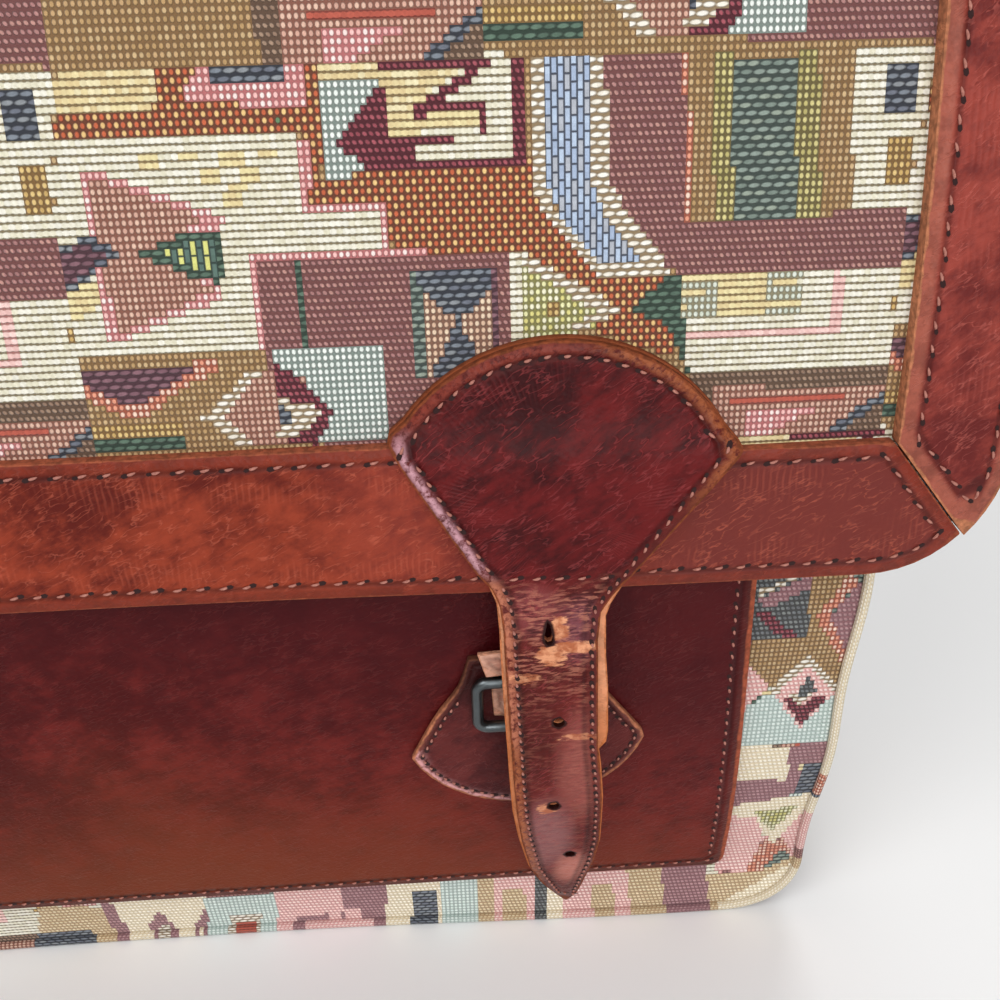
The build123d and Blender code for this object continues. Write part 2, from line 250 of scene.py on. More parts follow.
def cells(vector, scale):
    node = treeOf(vector).nodes.new("ShaderNodeTexVoronoi")
    plug(node.inputs["Vector"], vector)
    node.inputs["Scale"].default_value = scale
    return node.outputs["Distance"]


def wavy(vector, amount):  # pushes a texture's place about
    node = treeOf(vector).nodes.new("ShaderNodeVectorMath")
    node.operation = "ADD"
    plug(node.inputs[0], vector)
    plug(node.inputs[1], amount)
    return node.outputs[0]


def bump(surface, height, strength, distance):
    node = surface.id_data.nodes.new("ShaderNodeBump")
    node.inputs["Strength"].default_value = strength
    node.inputs["Distance"].default_value = distance
    plug(node.inputs["Height"], height)
    plug(surface.inputs["Normal"], node.outputs["Normal"])


# Tapestry: every face is one thread cell with its own thread and gap colour and its own weave
weave = {"across": 0.00116, "up": 0.00137, "slackScale": 420, "slack": 0.16, "twistRate": 6.2832,
         "twistSlant": 0.45, "fuzzScale": 2600, "fuzz": 0.35, "fuzzBump": 0.12, "bump": 0.0004,
         "bumpShare": 0.85, "roughness": 0.9, "specular": 0.2, "sheen": 0.12, "unevenDye": 0.16,
         "ribHalf": 0.42, "ribFuller": 0.08, "ribEdge": 0.2, "twistShade": 0.07, "twillStep": 0.35}
# Ovals: how wide, how tall and how slanted. The others: where a side begins to fall and where it ends
threadForms = {"bead": (0.4, 0.42, 0.12), "twill": (0.5, 0.34, -0.5), "dash": (0.52, 0.36, 0.22),
               "brickAcross": (0.3, 0.48), "brickUp": (0.4, 0.49), "ribAcross": (0.1, 0.45),
               "oval": (0.35, 1.25)}


def makeTapestry():
    material, tree, surface = newMaterial("tapestry")
    uv = tree.nodes.new("ShaderNodeUVMap")
    uv.uv_map = "cells"
    split = tree.nodes.new("ShaderNodeSeparateXYZ")
    plug(split.inputs[0], uv.outputs[0])
    u, v = split.outputs[0], split.outputs[1]
    kind = readAttribute(tree, "weaveKind")
    slack = noise(objectPlace(tree), weave["slackScale"], 2)
    v = plus(v, times(less(slack, 0.5), weave["slack"]))
    inU, inV = calc("FRACT", u), calc("FRACT", v)

    def hill(value, low, high):  # 1 in the middle of a cell, 0 in the gaps at its sides
        middle = calc("ABSOLUTE", less(value, 0.5))
        return ramp(middle, high, low)

    def grain(a, b, wide, tall, slant):  # one oval thread in a cell
        da, db = less(a, 0.5), less(b, 0.5)
        along = plus(da, times(db, slant))
        across = less(db, times(da, slant))
        reach = [calc("POWER", calc("ABSOLUTE", calc("DIVIDE", way, most)), 2.0)
                 for way, most in ((along, wide), (across, tall))]
        return ramp(plus(*reach), *reversed(threadForms["oval"]))

    twist = plus(u, times(v, weave["twistSlant"]))
    twist = calc("SINE", times(twist, weave["twistRate"]))
    ribGap = plus(weave["ribHalf"], times(hill(inU, *threadForms["ribAcross"]), weave["ribFuller"]))
    rib = ramp(less(ribGap, calc("ABSOLUTE", less(inV, 0.5))), 0.0, weave["ribEdge"])
    rib = times(rib, plus(1 - weave["twistShade"], times(twist, weave["twistShade"])))
    bead = grain(inU, inV, *threadForms["bead"])
    column = calc("MODULO", calc("FLOOR", u), 2.0)
    tall = calc("FRACT", calc("DIVIDE", plus(v, column), 2.0))
    brick = times(hill(inU, *threadForms["brickAcross"]), hill(tall, *threadForms["brickUp"]))
    shifted = calc("FRACT", plus(u, times(calc("FLOOR", v), weave["twillStep"])))
    twill = grain(shifted, inV, *threadForms["twill"])
    row = calc("MODULO", calc("FLOOR", v), 2.0)
    wide = calc("FRACT", calc("DIVIDE", plus(u, row), 2.0))
    dash = grain(wide, inV, *threadForms["dash"])
    mask = rib
    for number, other in ((1, bead), (2, brick), (3, twill), (4, dash)):
        chosen = calc("COMPARE", kind, float(number), 0.25)
        mask = plus(times(mask, less(1.0, chosen)), times(other, chosen))
    thread, gap = readAttribute(tree, "thread", "Color"), readAttribute(tree, "gap", "Color")
    fuzz = noise(objectPlace(tree), weave["fuzzScale"], 2)
    colour = tint(mask, gap, thread)
    colour = tint(times(fuzz, weave["fuzz"]), colour, (0.9, 0.9, 0.9), "OVERLAY")
    plug(surface.inputs["Base Color"], colour)
    plug(surface.inputs["Roughness"], weave["roughness"])
    plug(surface.inputs["Specular IOR Level"], weave["specular"])
    plug(surface.inputs["Sheen Weight"], weave["sheen"])
    height = plus(mask, times(fuzz, weave["fuzzBump"]))
    bump(surface, height, weave["bumpShare"], weave["bump"])
    return material


# Looks of the woven fields: weave kind, thread colours and gap colour
# Kinds: 0 rib, 1 bead, 2 upright brick, 3 twill, 4 dash
looks = {
    "cream": (0, [(216, 212, 196), (210, 205, 186), (204, 198, 176)], (112, 100, 76)),
    "yellow": (0, [(208, 192, 146), (202, 183, 138)], (116, 96, 64)),
    "sand": (0, [(204, 186, 142), (196, 176, 132), (210, 196, 158)], (112, 92, 62)),
    "white": (4, [(222, 216, 204), (214, 206, 190)], (124, 106, 82)),
    "mintRib": (1, [(190, 196, 182), (182, 188, 172)], (120, 114, 92)),
    "rust": (1, [(172, 88, 60), (204, 166, 112)], (92, 54, 40)),
    "rustGreen": (1, [(172, 88, 60), (88, 116, 84)], (92, 54, 40)),
    "mauve": (3, [(156, 114, 110), (146, 104, 102), (164, 122, 114)], (98, 62, 60)),
    "brownTwill": (3, [(142, 118, 100), (128, 104, 88)], (82, 64, 52)),
    "plum": (4, [(118, 86, 94), (106, 76, 84)], (66, 44, 50)),
    "brownPink": (1, [(196, 160, 142), (184, 144, 128)], (116, 76, 64)),
    "beige": (1, [(206, 180, 156), (194, 162, 138)], (110, 80, 66)),
    "olive": (1, [(176, 150, 112), (168, 138, 100), (160, 130, 90)], (110, 84, 56)),
    "oliveGreen": (1, [(182, 172, 118), (162, 152, 98)], (92, 82, 52)),
    "mint": (1, [(212, 218, 210), (202, 210, 202)], (108, 118, 112)),
    "aqua": (1, [(206, 218, 212), (194, 208, 202)], (150, 164, 158)),
    "blue": (2, [(156, 170, 190), (144, 158, 180), (154, 158, 166)], (62, 66, 78)),
    "slate": (4, [(108, 114, 122), (94, 98, 108), (122, 126, 130)], (46, 48, 54)),
    "teal": (4, [(120, 132, 124), (106, 118, 110), (128, 138, 126)], (56, 64, 60)),
    "forest": (4, [(84, 104, 90), (74, 92, 80)], (44, 56, 48)),
    "burgundy": (3, [(142, 74, 82), (128, 64, 72)], (70, 32, 38)),
    "pink": (1, [(220, 164, 160), (230, 200, 194)], (154, 92, 92)),
    "pinkRib": (0, [(220, 182, 176), (212, 170, 164)], (146, 98, 92)),
    "orangePink": (1, [(206, 136, 112), (220, 182, 164)], (136, 74, 58)),
    "leaf": (1, [(206, 204, 152), (194, 186, 118), (212, 208, 176)], (114, 110, 68)),
    "slash": (2, [(188, 188, 112), (78, 98, 90)], (48, 62, 58)),
    "redLine": (0, [(160, 80, 66)], (112, 54, 46)),
    "keyTan": (1, [(192, 164, 110), (176, 146, 92)], (108, 82, 50)),
    "darkSlate": (3, [(104, 108, 110), (118, 122, 120), (94, 96, 98)], (62, 62, 62)),
    # The last four looks: pink, cream, tan and plum of the cloth painted paler, with paler gaps, as painted
    # light where the bright floor lights the case's lower front and edges
    "pinkWithPaintedLight": (3, [(230, 190, 184), (236, 206, 198)], (190, 140, 136)),
    "creamWithPaintedLight": (3, [(240, 232, 214), (234, 224, 202)], (200, 182, 154)),
    "tanWithPaintedLight": (3, [(212, 194, 160), (202, 180, 146)], (160, 134, 102)),
    "plumWithPaintedLight": (3, [(164, 128, 130), (152, 116, 118)], (120, 84, 88)),
}


def slab(left, right, top, bottom, rise):  # field with upright sides, its right end higher by rise
    return [(left, top), (right, top - rise), (right, bottom - rise), (left, bottom)]


# Fields of the flap in painter's order, drawn on the photo's pixels
flapFields = [
    ("olive", slab(55, 945, 40, 462, 0)),
    ("sand", [(55, 40), (156, 40), (157, 109), (55, 113)]),
    ("slate", [(77, 40), (116, 40), (116, 66), (80, 66)]),
    ("pinkRib", [(86, 40), (108, 40), (107, 55), (86, 55)]),
    ("rust", [(156, 40), (320, 40), (322, 212), (300, 212), (300, 134), (55, 143), (55, 111), (157, 107)]),
    ("rustGreen", [(272, 100), (280, 100), (282, 136), (274, 136)]),
    ("pink", [(204, 40), (297, 40), (306, 104), (179, 105)]),
    ("slate", [(219, 40), (281, 40), (284, 86), (205, 87)]),
    ("cream", [(55, 143), (298, 134), (306, 214), (384, 208), (391, 250), (258, 257), (264, 348), (55, 361)]),
    ("yellow", [(55, 145), (298, 138), (298, 144), (55, 152)]),
    ("yellow", slab(138, 158, 155, 168, 1)),
    ("yellow", slab(179, 198, 155, 165, 1)),
    ("yellow", slab(202, 221, 165, 188, 1)),
    ("yellow", slab(219, 242, 155, 165, 1)),
    ("yellow", slab(239, 262, 165, 187, 1)),
    ("yellow", slab(257, 279, 147, 162, 1)),
    ("yellow", slab(224, 245, 188, 208, 1)),
    ("yellow", [(55, 300), (96, 278), (109, 268), (111, 290), (92, 312), (55, 332)]),
    ("pink", [(297, 138), (306, 138), (313, 207), (304, 208)]),
    ("pink", [(304, 209), (384, 204), (393, 252), (385, 252), (378, 212), (305, 217)]),
    ("pink",
     [(82, 172), (100, 174), (222, 216), (222, 226), (150, 256), (222, 286), (222, 298), (125, 341),
      (108, 341)]),
    ("brownPink",
     [(90, 180), (100, 181), (206, 218), (142, 256), (217, 289), (128, 331), (118, 332), (107, 290)]),
    ("forest", [(136, 256), (192, 231), (222, 231), (222, 285), (190, 276)]),
    ("slash", [(158, 256), (196, 238), (217, 236), (219, 276), (196, 268)]),
    ("slate", [(55, 244), (97, 238), (117, 255), (90, 278), (55, 306)]),
    ("plum", [(55, 252), (90, 246), (104, 256), (82, 276), (55, 292)]),
    ("mauve", [(257, 257), (512, 246), (514, 444), (264, 446)]),
    ("pink", [(250, 253), (517, 244), (517, 251), (251, 260)]),
    ("pink", [(248, 256), (257, 256), (267, 348), (259, 348)]),
    ("forest", [(291, 259), (298, 259), (309, 348), (302, 348)]),
    ("olive", [(55, 361), (265, 349), (276, 447), (55, 462)]),
    ("orangePink",
     [(55, 373), (214, 362), (228, 364), (180, 390), (146, 420), (132, 420), (86, 400), (55, 396)]),
    ("plum", [(55, 374), (201, 365), (173, 382), (139, 406), (116, 401), (89, 387), (55, 384)]),
    ("keyTan", [(55, 430), (180, 420), (184, 434), (55, 444)]),
    ("forest", slab(84, 184, 442, 457, 8)),
    ("mint", [(271, 350), (385, 344), (388, 441), (276, 446)]),
    ("white", [(252, 370), (262, 369), (262, 380), (222, 416), (262, 442), (240, 446), (203, 418)]),
    ("brownPink", [(262, 372), (304, 376), (304, 444), (258, 446), (222, 416)]),
    ("burgundy",
     [(272, 366), (286, 368), (312, 394), (334, 412), (316, 446), (282, 446), (300, 420), (276, 396)]),
    ("slate", [(276, 402), (300, 404), (300, 428), (280, 430)]),
    ("white", [(274, 398), (312, 404), (322, 414), (300, 434), (276, 436), (292, 418)]),
    ("teal", [(412, 272), (423, 272), (426, 376), (414, 378)]),
    ("beige", [(422, 286), (494, 282), (496, 372), (425, 376)]),
    ("slate", [(412, 271), (498, 266), (496, 284), (458, 322), (420, 288)]),
    ("slate", [(458, 320), (490, 374), (430, 378)]),
    ("plum", [(493, 268), (507, 267), (509, 346), (496, 372)]),
    ("sand", [(311, 40), (380, 40), (380, 80), (316, 80)]),
    ("mint", [(319, 78), (378, 76), (380, 174), (323, 177)]),
    ("cream", [(383, 40), (517, 40), (517, 162), (383, 170)]),
    ("sand",
     [(375, 70), (460, 67), (446, 82), (430, 90), (422, 106), (408, 116), (384, 118), (382, 88), (376, 86)]),
    ("yellow", [(384, 117), (412, 115), (480, 110), (480, 126), (412, 133), (384, 137)]),
    ("white", [(394, 44), (480, 42), (490, 53), (456, 60), (394, 59)]),
    ("burgundy", [(364, 40), (382, 40), (384, 60), (456, 59), (502, 51), (502, 60), (456, 67), (379, 68)]),
    ("burgundy",
     [(486, 57), (502, 56), (440, 101), (480, 103), (488, 103), (490, 136), (414, 143), (384, 144),
      (384, 137), (482, 131), (481, 110), (411, 117), (411, 111)]),
    ("burgundy",
     [(372, 88), (384, 88), (386, 138), (415, 140), (415, 162), (517, 158), (517, 166), (377, 173),
      (336, 148)]),
    ("burgundy", [(513, 40), (526, 40), (526, 160), (515, 168)]),
    ("rust",
     [(318, 177), (383, 174), (517, 167), (531, 160), (531, 178), (549, 216), (602, 268), (672, 274),
      (673, 356), (600, 336), (520, 254), (393, 250), (384, 204), (304, 207)]),
    ("mauve", [(499, 250), (510, 249), (512, 346), (501, 348)]),
    ("cream", [(508, 254), (525, 254), (527, 345), (510, 346)]),
    ("leaf", [(524, 262), (606, 318), (586, 332), (526, 345)]),
    ("keyTan", slab(546, 562, 300, 314, 0)),
    ("white", [(514, 252), (534, 258), (622, 310), (590, 327), (572, 328), (598, 312), (526, 268)]),
    ("white", [(527, 40), (548, 40), (548, 180), (553, 205), (603, 266), (590, 270), (545, 218), (530, 182)]),
    ("blue", [(547, 40), (591, 40), (591, 180), (605, 214), (650, 264), (602, 268), (562, 216), (547, 182)]),
    ("white", [(590, 40), (607, 40), (607, 180), (671, 270), (649, 266), (604, 214), (590, 182)]),
    ("white", slab(594, 670, 266, 275, 1)),
    ("mauve", [(606, 40), (684, 40), (684, 273), (671, 271), (607, 180)]),
    ("forest", [(629, 308), (676, 272), (682, 272), (688, 374), (678, 352), (668, 327)]),
    ("oliveGreen", [(712, 40), (734, 40), (734, 219), (714, 221)]),
    ("teal", [(733, 62), (800, 60), (797, 217), (733, 219)]),
    ("oliveGreen", [(796, 40), (820, 40), (820, 214), (796, 217)]),
    ("orangePink", slab(684, 690, 40, 222, 0)),
    ("cream", [(854, 40), (945, 40), (945, 208), (852, 212)]),
    ("slate", slab(886, 945, 60, 112, 2)),
    ("keyTan", [(886, 140), (916, 139), (916, 184), (886, 186)]),
    ("mauve", [(680, 221), (945, 208), (945, 264), (680, 274)]),
    ("cream", [(681, 274), (945, 264), (945, 362), (688, 373)]),
    ("yellow", [(681, 275), (800, 270), (800, 312), (683, 317)]),
    *[("mintRib", slab(px, px + 34, py, py + 8, 2))
      for px, heights in ((682, (280, 294, 308)), (768, (275, 290, 305))) for py in heights],
    ("pinkRib", [(832, 267), (843, 267), (842, 332), (831, 332)]),
    ("pinkRib", slab(686, 842, 332, 339, 6)),
    ("keyTan", [(884, 304), (914, 281), (925, 281), (925, 311), (900, 312)]),
    ("forest", [(886, 363), (907, 338), (920, 338), (920, 366)]),
    ("brownTwill", [(690, 372), (945, 362), (945, 446), (690, 446)]),
    ("brownPink", [(712, 389), (884, 382), (884, 396), (800, 446), (712, 446)]),
    ("redLine", slab(732, 842, 397, 403, 3)),
    ("pink", [(746, 411), (818, 408), (790, 422), (764, 436), (746, 438)]),
    ("slate", [(812, 440), (880, 393), (890, 395), (826, 442)]),
]

# Fields of the front panel beside and under the pocket, on the photo's pixels
frontFields = [
    ("darkSlate", [(740, 560), (830, 560), (806, 640), (740, 640)]),
    ("plumWithPaintedLight", [(757, 601), (805, 577), (816, 577), (812, 588), (766, 609)]),
    ("white", [(757, 592), (790, 577), (797, 577), (760, 597)]),
    ("burgundy", [(758, 612), (764, 610), (796, 636), (786, 641), (758, 620)]),
    ("olive",
     [(810, 560), (872, 560), (852, 577), (822, 619), (846, 657), (843, 690), (810, 657), (773, 690),
      (746, 661), (750, 639), (806, 639)]),
    ("orangePink", [(847, 574), (857, 580), (827, 617), (850, 654), (842, 661), (815, 617)]),
    ("plumWithPaintedLight", [(853, 588), (862, 576), (868, 576), (852, 650), (845, 648), (828, 617)]),
    ("oliveGreen", [(861, 570), (880, 570), (858, 690), (845, 690)]),
    ("aqua", [(735, 713), (772, 693), (799, 722), (833, 693), (860, 684), (850, 740), (730, 748)]),
    ("pinkWithPaintedLight", [(742, 661), (770, 686), (742, 712)]),
    ("white", [(770, 690), (810, 654), (842, 686), (834, 696), (810, 668), (780, 698)]),
    ("pinkWithPaintedLight", [(777, 695), (810, 665), (837, 692), (799, 728)]),
    ("burgundy", [(784, 700), (790, 695), (801, 708), (818, 694), (830, 696), (800, 726)]),
    ("white", [(790, 694), (814, 692), (801, 708)]),
    ("darkSlate", [(800, 690), (812, 676), (818, 690), (802, 700)]),
    ("creamWithPaintedLight", [(730, 747), (788, 746), (786, 781), (724, 783)]),
    ("plumWithPaintedLight",
     [(788, 746), (850, 738), (840, 764), (799, 763), (797, 793), (757, 808), (722, 806), (724, 781),
      (786, 780)]),
    ("slate", [(801, 762), (824, 762), (817, 793), (795, 795)]),
    ("orangePink", [(824, 744), (852, 738), (830, 790), (816, 790)]),
    ("creamWithPaintedLight",
     [(718, 808), (811, 793), (840, 786), (830, 830), (797, 822), (773, 844), (755, 818), (720, 816)]),
    ("leaf", [(754, 812), (800, 805), (774, 830)]),
    ("pinkWithPaintedLight", [(718, 815), (757, 818), (765, 838), (741, 869), (714, 866)]),
    ("pinkWithPaintedLight", [(782, 836), (808, 808), (824, 812), (790, 854)]),
    ("orangePink", [(741, 869), (766, 838), (774, 844), (784, 838), (790, 854), (760, 870)]),
    ("teal", [(752, 870), (780, 850), (792, 856), (770, 872)]),
    ("tanWithPaintedLight", [(690, 872), (760, 866), (830, 840), (800, 950), (690, 950)]),
    ("creamWithPaintedLight", [(712, 892), (779, 863), (800, 858), (786, 884), (746, 904)]),
    ("tanWithPaintedLight", [(40, 905), (106, 906), (140, 950), (40, 950)]),
    ("slate", [(40, 928), (94, 926), (110, 946), (108, 952), (40, 952)]),
    ("creamWithPaintedLight", [(104, 900), (206, 895), (216, 950), (140, 950)]),
    ("plumWithPaintedLight", [(100, 902), (112, 902), (150, 950), (134, 950)]),
    ("plumWithPaintedLight", [(148, 922), (160, 908), (186, 930), (176, 942)]),
    ("white", [(160, 926), (166, 919), (177, 929), (171, 936)]),
    ("plumWithPaintedLight", [(196, 922), (206, 904), (220, 936), (212, 938), (205, 918), (199, 928)]),
    ("aqua", [(204, 896), (275, 892), (286, 950), (218, 950)]),
    ("white", [(231, 913), (262, 911), (266, 950), (234, 950)]),
    ("redLine", [(237, 918), (257, 917), (260, 950), (239, 950)]),
    ("pinkWithPaintedLight", [(275, 888), (342, 884), (350, 950), (284, 950)]),
    ("plumWithPaintedLight", [(296, 913), (328, 909), (328, 915), (306, 917), (309, 950), (299, 950)]),
    ("plumWithPaintedLight", [(341, 884), (388, 880), (390, 950), (347, 950)]),
    ("pinkWithPaintedLight", [(344, 904), (360, 903), (362, 914), (380, 914), (380, 950), (346, 950)]),
    ("creamWithPaintedLight", [(386, 880), (440, 876), (442, 950), (388, 950)]),
    ("aqua", [(440, 876), (476, 874), (478, 950), (442, 950)]),
    ("slate", [(412, 890), (436, 888), (437, 914), (413, 916)]),
    ("tanWithPaintedLight", [(476, 874), (492, 873), (494, 950), (478, 950)]),
    ("pinkWithPaintedLight", [(492, 872), (534, 870), (536, 950), (494, 950)]),
    ("tanWithPaintedLight", [(502, 886), (524, 885), (525, 950), (503, 950)]),
    ("darkSlate", [(534, 870), (546, 869), (548, 950), (536, 950)]),
    ("creamWithPaintedLight", [(546, 869), (562, 868), (564, 950), (548, 950)]),
    ("pinkWithPaintedLight", [(562, 868), (640, 864), (642, 950), (564, 950)]),
    ("tanWithPaintedLight", [(590, 880), (612, 879), (613, 902), (591, 903)]),
    ("tanWithPaintedLight", [(626, 864), (660, 862), (662, 950), (628, 950)]),
    ("plumWithPaintedLight", [(660, 862), (704, 859), (704, 950), (662, 950)]),
]


def inside(x, y, corners):
    hit = np.zeros(x.shape, bool)
    for (x0, y0), (x1, y1) in zip(corners, corners[1:] + corners[:1]):
        if y0 != y1:
            crosses = (y0 > y) != (y1 > y)
            hit ^= crosses & (x < (x1 - x0) * (y - y0) / (y1 - y0) + x0)
    return hit


lookNames = list(looks)
flapShapes = [(lookNames.index(name), [fromPhoto(*p, layers["flapCloth"]) for p in corners])
              for name, corners in flapFields]
frontShapes = [(lookNames.index(name), [fromPhoto(*p, 0) for p in corners]) for name, corners in frontFields]
windowPixels = {"left": (66, 300), "right": (900, 250), "low": (500, 446), "high": (500, 56)}
window = {side: fromPhoto(*pixel, layers["flapCloth"])[0 if side in ("left", "right") else 1]
          for side, pixel in windowPixels.items()}


def patternAt(x, t, shapes, bare=-1):
    chosen = np.full(x.shape, bare)
    for number, corners in shapes:
        chosen[inside(x, t, corners)] = number
    return chosen


def repeatPattern(x, t):  # the drawn window, repeated with a half drop
    wide, high = window["right"] - window["left"], window["high"] - window["low"]
    floor = np.floor((t - window["low"]) / high)
    side = np.mod(x - window["left"] + floor * wide * 0.5, wide) + window["left"]
    return patternAt(side, t - floor * high, flapShapes, lookNames.index("cream"))


def dyeCloth(obj, columns, rows, chosen, paintedLight=None):  # per face: thread, gap and weave kind
    count = len(chosen)
    thread, gap, kind = np.ones((count, 4)), np.ones((count, 4)), np.zeros(count)
    draw = dice.random(count)
    dyeAndPaintedLight = 1 + weave["unevenDye"] * (dice.random(count) - 0.5)
    # times the painted light handed in, which makes the cloth paler where it stands lit
    if paintedLight is not None:
        dyeAndPaintedLight *= paintedLight
    for number, name in enumerate(lookNames):
        at = np.nonzero(chosen == number)[0]
        if not len(at):
            continue
        form, colours, between = looks[name]
        palette = np.array([linear(c) for c in colours])
        if name in ("rust", "rustGreen"):
            pick = (columns[at] + rows[at]) % 2
        elif name == "slash":
            pick = (columns[at] % 2).astype(int)
        elif form == 2:
            pick = ((columns[at] * 7 + (rows[at] + columns[at] % 2) // 2 * 5) % 11 % len(palette)).astype(int)
        elif form == 4:
            pick = ((rows[at] * 5 + (columns[at] + rows[at] % 2) // 2 * 3) % 7 % len(palette)).astype(int)
        else:
            pick = (draw[at] * len(palette)).astype(int)
        thread[at, :3] = palette[pick] * dyeAndPaintedLight[at, None]
        gap[at, :3] = linear(between)
        kind[at] = form
    mesh = obj.data
    for label, form, values in (("thread", "FLOAT_COLOR", thread), ("gap", "FLOAT_COLOR", gap),
                                ("weaveKind", "FLOAT", kind)):
        layer = mesh.attributes.new(label, form, "FACE")
        part = "color" if form == "FLOAT_COLOR" else "value"
        layer.data.foreach_set(part, values.astype(np.float32).ravel())


def gridSheet(name, columns, rows, place):  # place(u, v) with u and v from 0 to 1
    bpy.ops.mesh.primitive_grid_add(x_subdivisions=columns, y_subdivisions=rows, size=1, calc_uvs=True)
    obj = bpy.context.object
    obj.name = obj.data.name = name
    mesh = obj.data
    flat = np.empty(len(mesh.vertices) * 3, np.float32)
    mesh.vertices.foreach_get("co", flat)
    flat = flat.reshape(-1, 3).astype(float) + 0.5
    mesh.vertices.foreach_set("co", place(flat[:, 0], flat[:, 1]).astype(np.float32).ravel())
    layer = mesh.uv_layers.active
    layer.name = "cells"
    uv = np.empty(len(mesh.loops) * 2, np.float32)
    layer.data.foreach_get("uv", uv)
    uv = uv.reshape(-1, 2) * np.array([columns, rows], np.float32)
    layer.data.foreach_set("uv", uv.ravel())
    starts = np.empty(len(mesh.polygons), int)
    mesh.polygons.foreach_get("loop_start", starts)
    centre = np.stack([uv[starts + k] for k in range(4)]).mean(axis=0)
    mesh.update()
    cell = np.floor(centre).astype(int)
    return obj, cell[:, 0], cell[:, 1], centre / (columns, rows)


def trim(obj, outside):  # takes away the faces marked outside
    shape = bmesh.new()
    shape.from_mesh(obj.data)
    shape.faces.ensure_lookup_table()
    bmesh.ops.delete(shape, geom=[shape.faces[i] for i in np.nonzero(outside)[0]], context="FACES")
    shape.to_mesh(obj.data)
    shape.free()


def newObject(name, data):
    obj = bpy.data.objects.new(name, data)
    scene.collection.objects.link(obj)
    return obj


def pickOnly(obj):
    bpy.ops.object.select_all(action="DESELECT")
    obj.select_set(True)
    bpy.context.view_layer.objects.active = obj


def thicken(obj, thickness):  # inwards, on the active piece
    thick = obj.modifiers.new("thick", "SOLIDIFY")
    thick.thickness, thick.offset = thickness, -1
    bpy.ops.object.modifier_apply(modifier="thick")


leatherCrease = math.radians(40)  # sharper edges of leather stay sharp


def finishPiece(obj, material, body, nodes=(), crease=None):
    if material:
        obj.data.materials.append(material)
    pickOnly(obj)
    if crease is None:
        bpy.ops.object.shade_smooth()
    else:
        bpy.ops.object.shade_smooth_by_angle(angle=crease)
    if body:
        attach(obj, body)
    if nodes:
        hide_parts(*nodes)
    return obj


tapestry = makeTapestry()


# outside a square-topped outline with round bottom corners
def outlineOut(x, z, halfWidth, low, radius, inset):
    halfWidth, low, radius = halfWidth - inset, low + inset, radius - inset
    cornerX, cornerZ = np.abs(x) - (halfWidth - radius), (low + radius) - z
    round_ = (cornerX > 0) & (cornerZ > 0) & (cornerX ** 2 + cornerZ ** 2 > radius ** 2)
    return (np.abs(x) > halfWidth) | (z < low) | round_


# Flap tapestry: up the front, round the fold, over the top and sewn down on the back
flapCloth = {"hemTurn": 0.0045, "hemDrop": 0.014, "hemWidth": 0.350, "wave": 0.0003, "endRound": 0.016,
             "endInset": 0.0025, "edgeInset": 0.0015, "waveRates": (61, 83), "hemShort": 0.0008,
             "hemEarly": 0.002, "hemLift": 0.0037, "hemSettle": 0.0013, "settleRun": 0.008}
hemAt = flapStations(layers["flapCloth"])[1] + flap["hingeY"] - flapCloth["hemShort"] - foldY
hemDown = hemAt + flapCloth["hemTurn"] * math.pi / 2
flapLength = hemDown + flapCloth["hemDrop"] - flap["edge"]


def flapClothPlace(u, v):
    x = (u - 0.5) * flap["width"]
    t = flap["edge"] + v * flapLength
    rateX, rateT = flapCloth["waveRates"]
    offset = layers["flapCloth"] + flapCloth["wave"] * np.sin(x * rateX) * np.sin(t * rateT + 1)
    points = onFlap(x, np.minimum(t, hemAt), offset, layers["flapCloth"])
    turn = np.clip((t - hemAt) / flapCloth["hemTurn"], 0, math.pi / 2)
    down = np.maximum(t - hemDown, 0)
    past = t > hemAt
    topZ = case["height"] + layers["flapCloth"]
    z = topZ - flapCloth["hemTurn"] * (1 - np.cos(turn)) - down
    settle = flapCloth["hemLift"] - flapCloth["hemSettle"] * np.clip(down / flapCloth["settleRun"], 0, 1)
    y = np.where(down > 0, backY(settle, z),
                 flap["hingeY"] - flapCloth["hemShort"] + flapCloth["hemTurn"] * np.sin(turn))
    points[past, 1] = y[past]
    points[past, 2] = z[past]
    return points


columns, rows = round(flap["width"] / weave["across"]), round(flapLength / weave["up"])
flapTapestry, column, row, middle = gridSheet("flap_tapestry", columns, rows, flapClothPlace)
x, t = (middle[:, 0] - 0.5) * flap["width"], flap["edge"] + middle[:, 1] * flapLength
dyeCloth(flapTapestry, column, row, repeatPattern(x, t))
pastHinge = t > hemAt - flapCloth["hemEarly"]
endX = np.abs(x) - flap["width"] / 2 + flapCloth["endRound"]
endT = t - hemAt + flapCloth["endRound"]
pastEnd = (endX > 0) & (endT > 0) & (np.hypot(endX, endT) > flapCloth["endRound"] - flapCloth["endInset"])
trim(flapTapestry, outlineOut(x, t, flap["width"] / 2, flap["edge"], flap["corner"], flapCloth["edgeInset"])
     | (pastHinge & (np.abs(x) > flapCloth["hemWidth"] / 2)) | pastEnd)
finishPiece(flapTapestry, tapestry, None, ["flap_panel"])
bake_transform(flapTapestry)
print("flap tapestry", len(flapTapestry.data.polygons))

# Front and back panels of the case
panelInset = 0.0008
# painted light: the front cloth is painted paler towards its bottom, where the bright floor lights it
frontCloth = {"paintedLight": 0.22, "paleTop": 0.030, "paleLow": 0.004, "shift": (0.05, 0.03)}  # paler at the bottom
backCloth = {"short": 0.0003, "shift": (0.09, 0.05)}
columns, rows = round(case["width"] / weave["across"]), round(case["mouth"] / weave["up"])


def frontClothPlace(u, v):
    return slumped(onFront((u - 0.5) * case["width"], v * case["mouth"], 0.0))


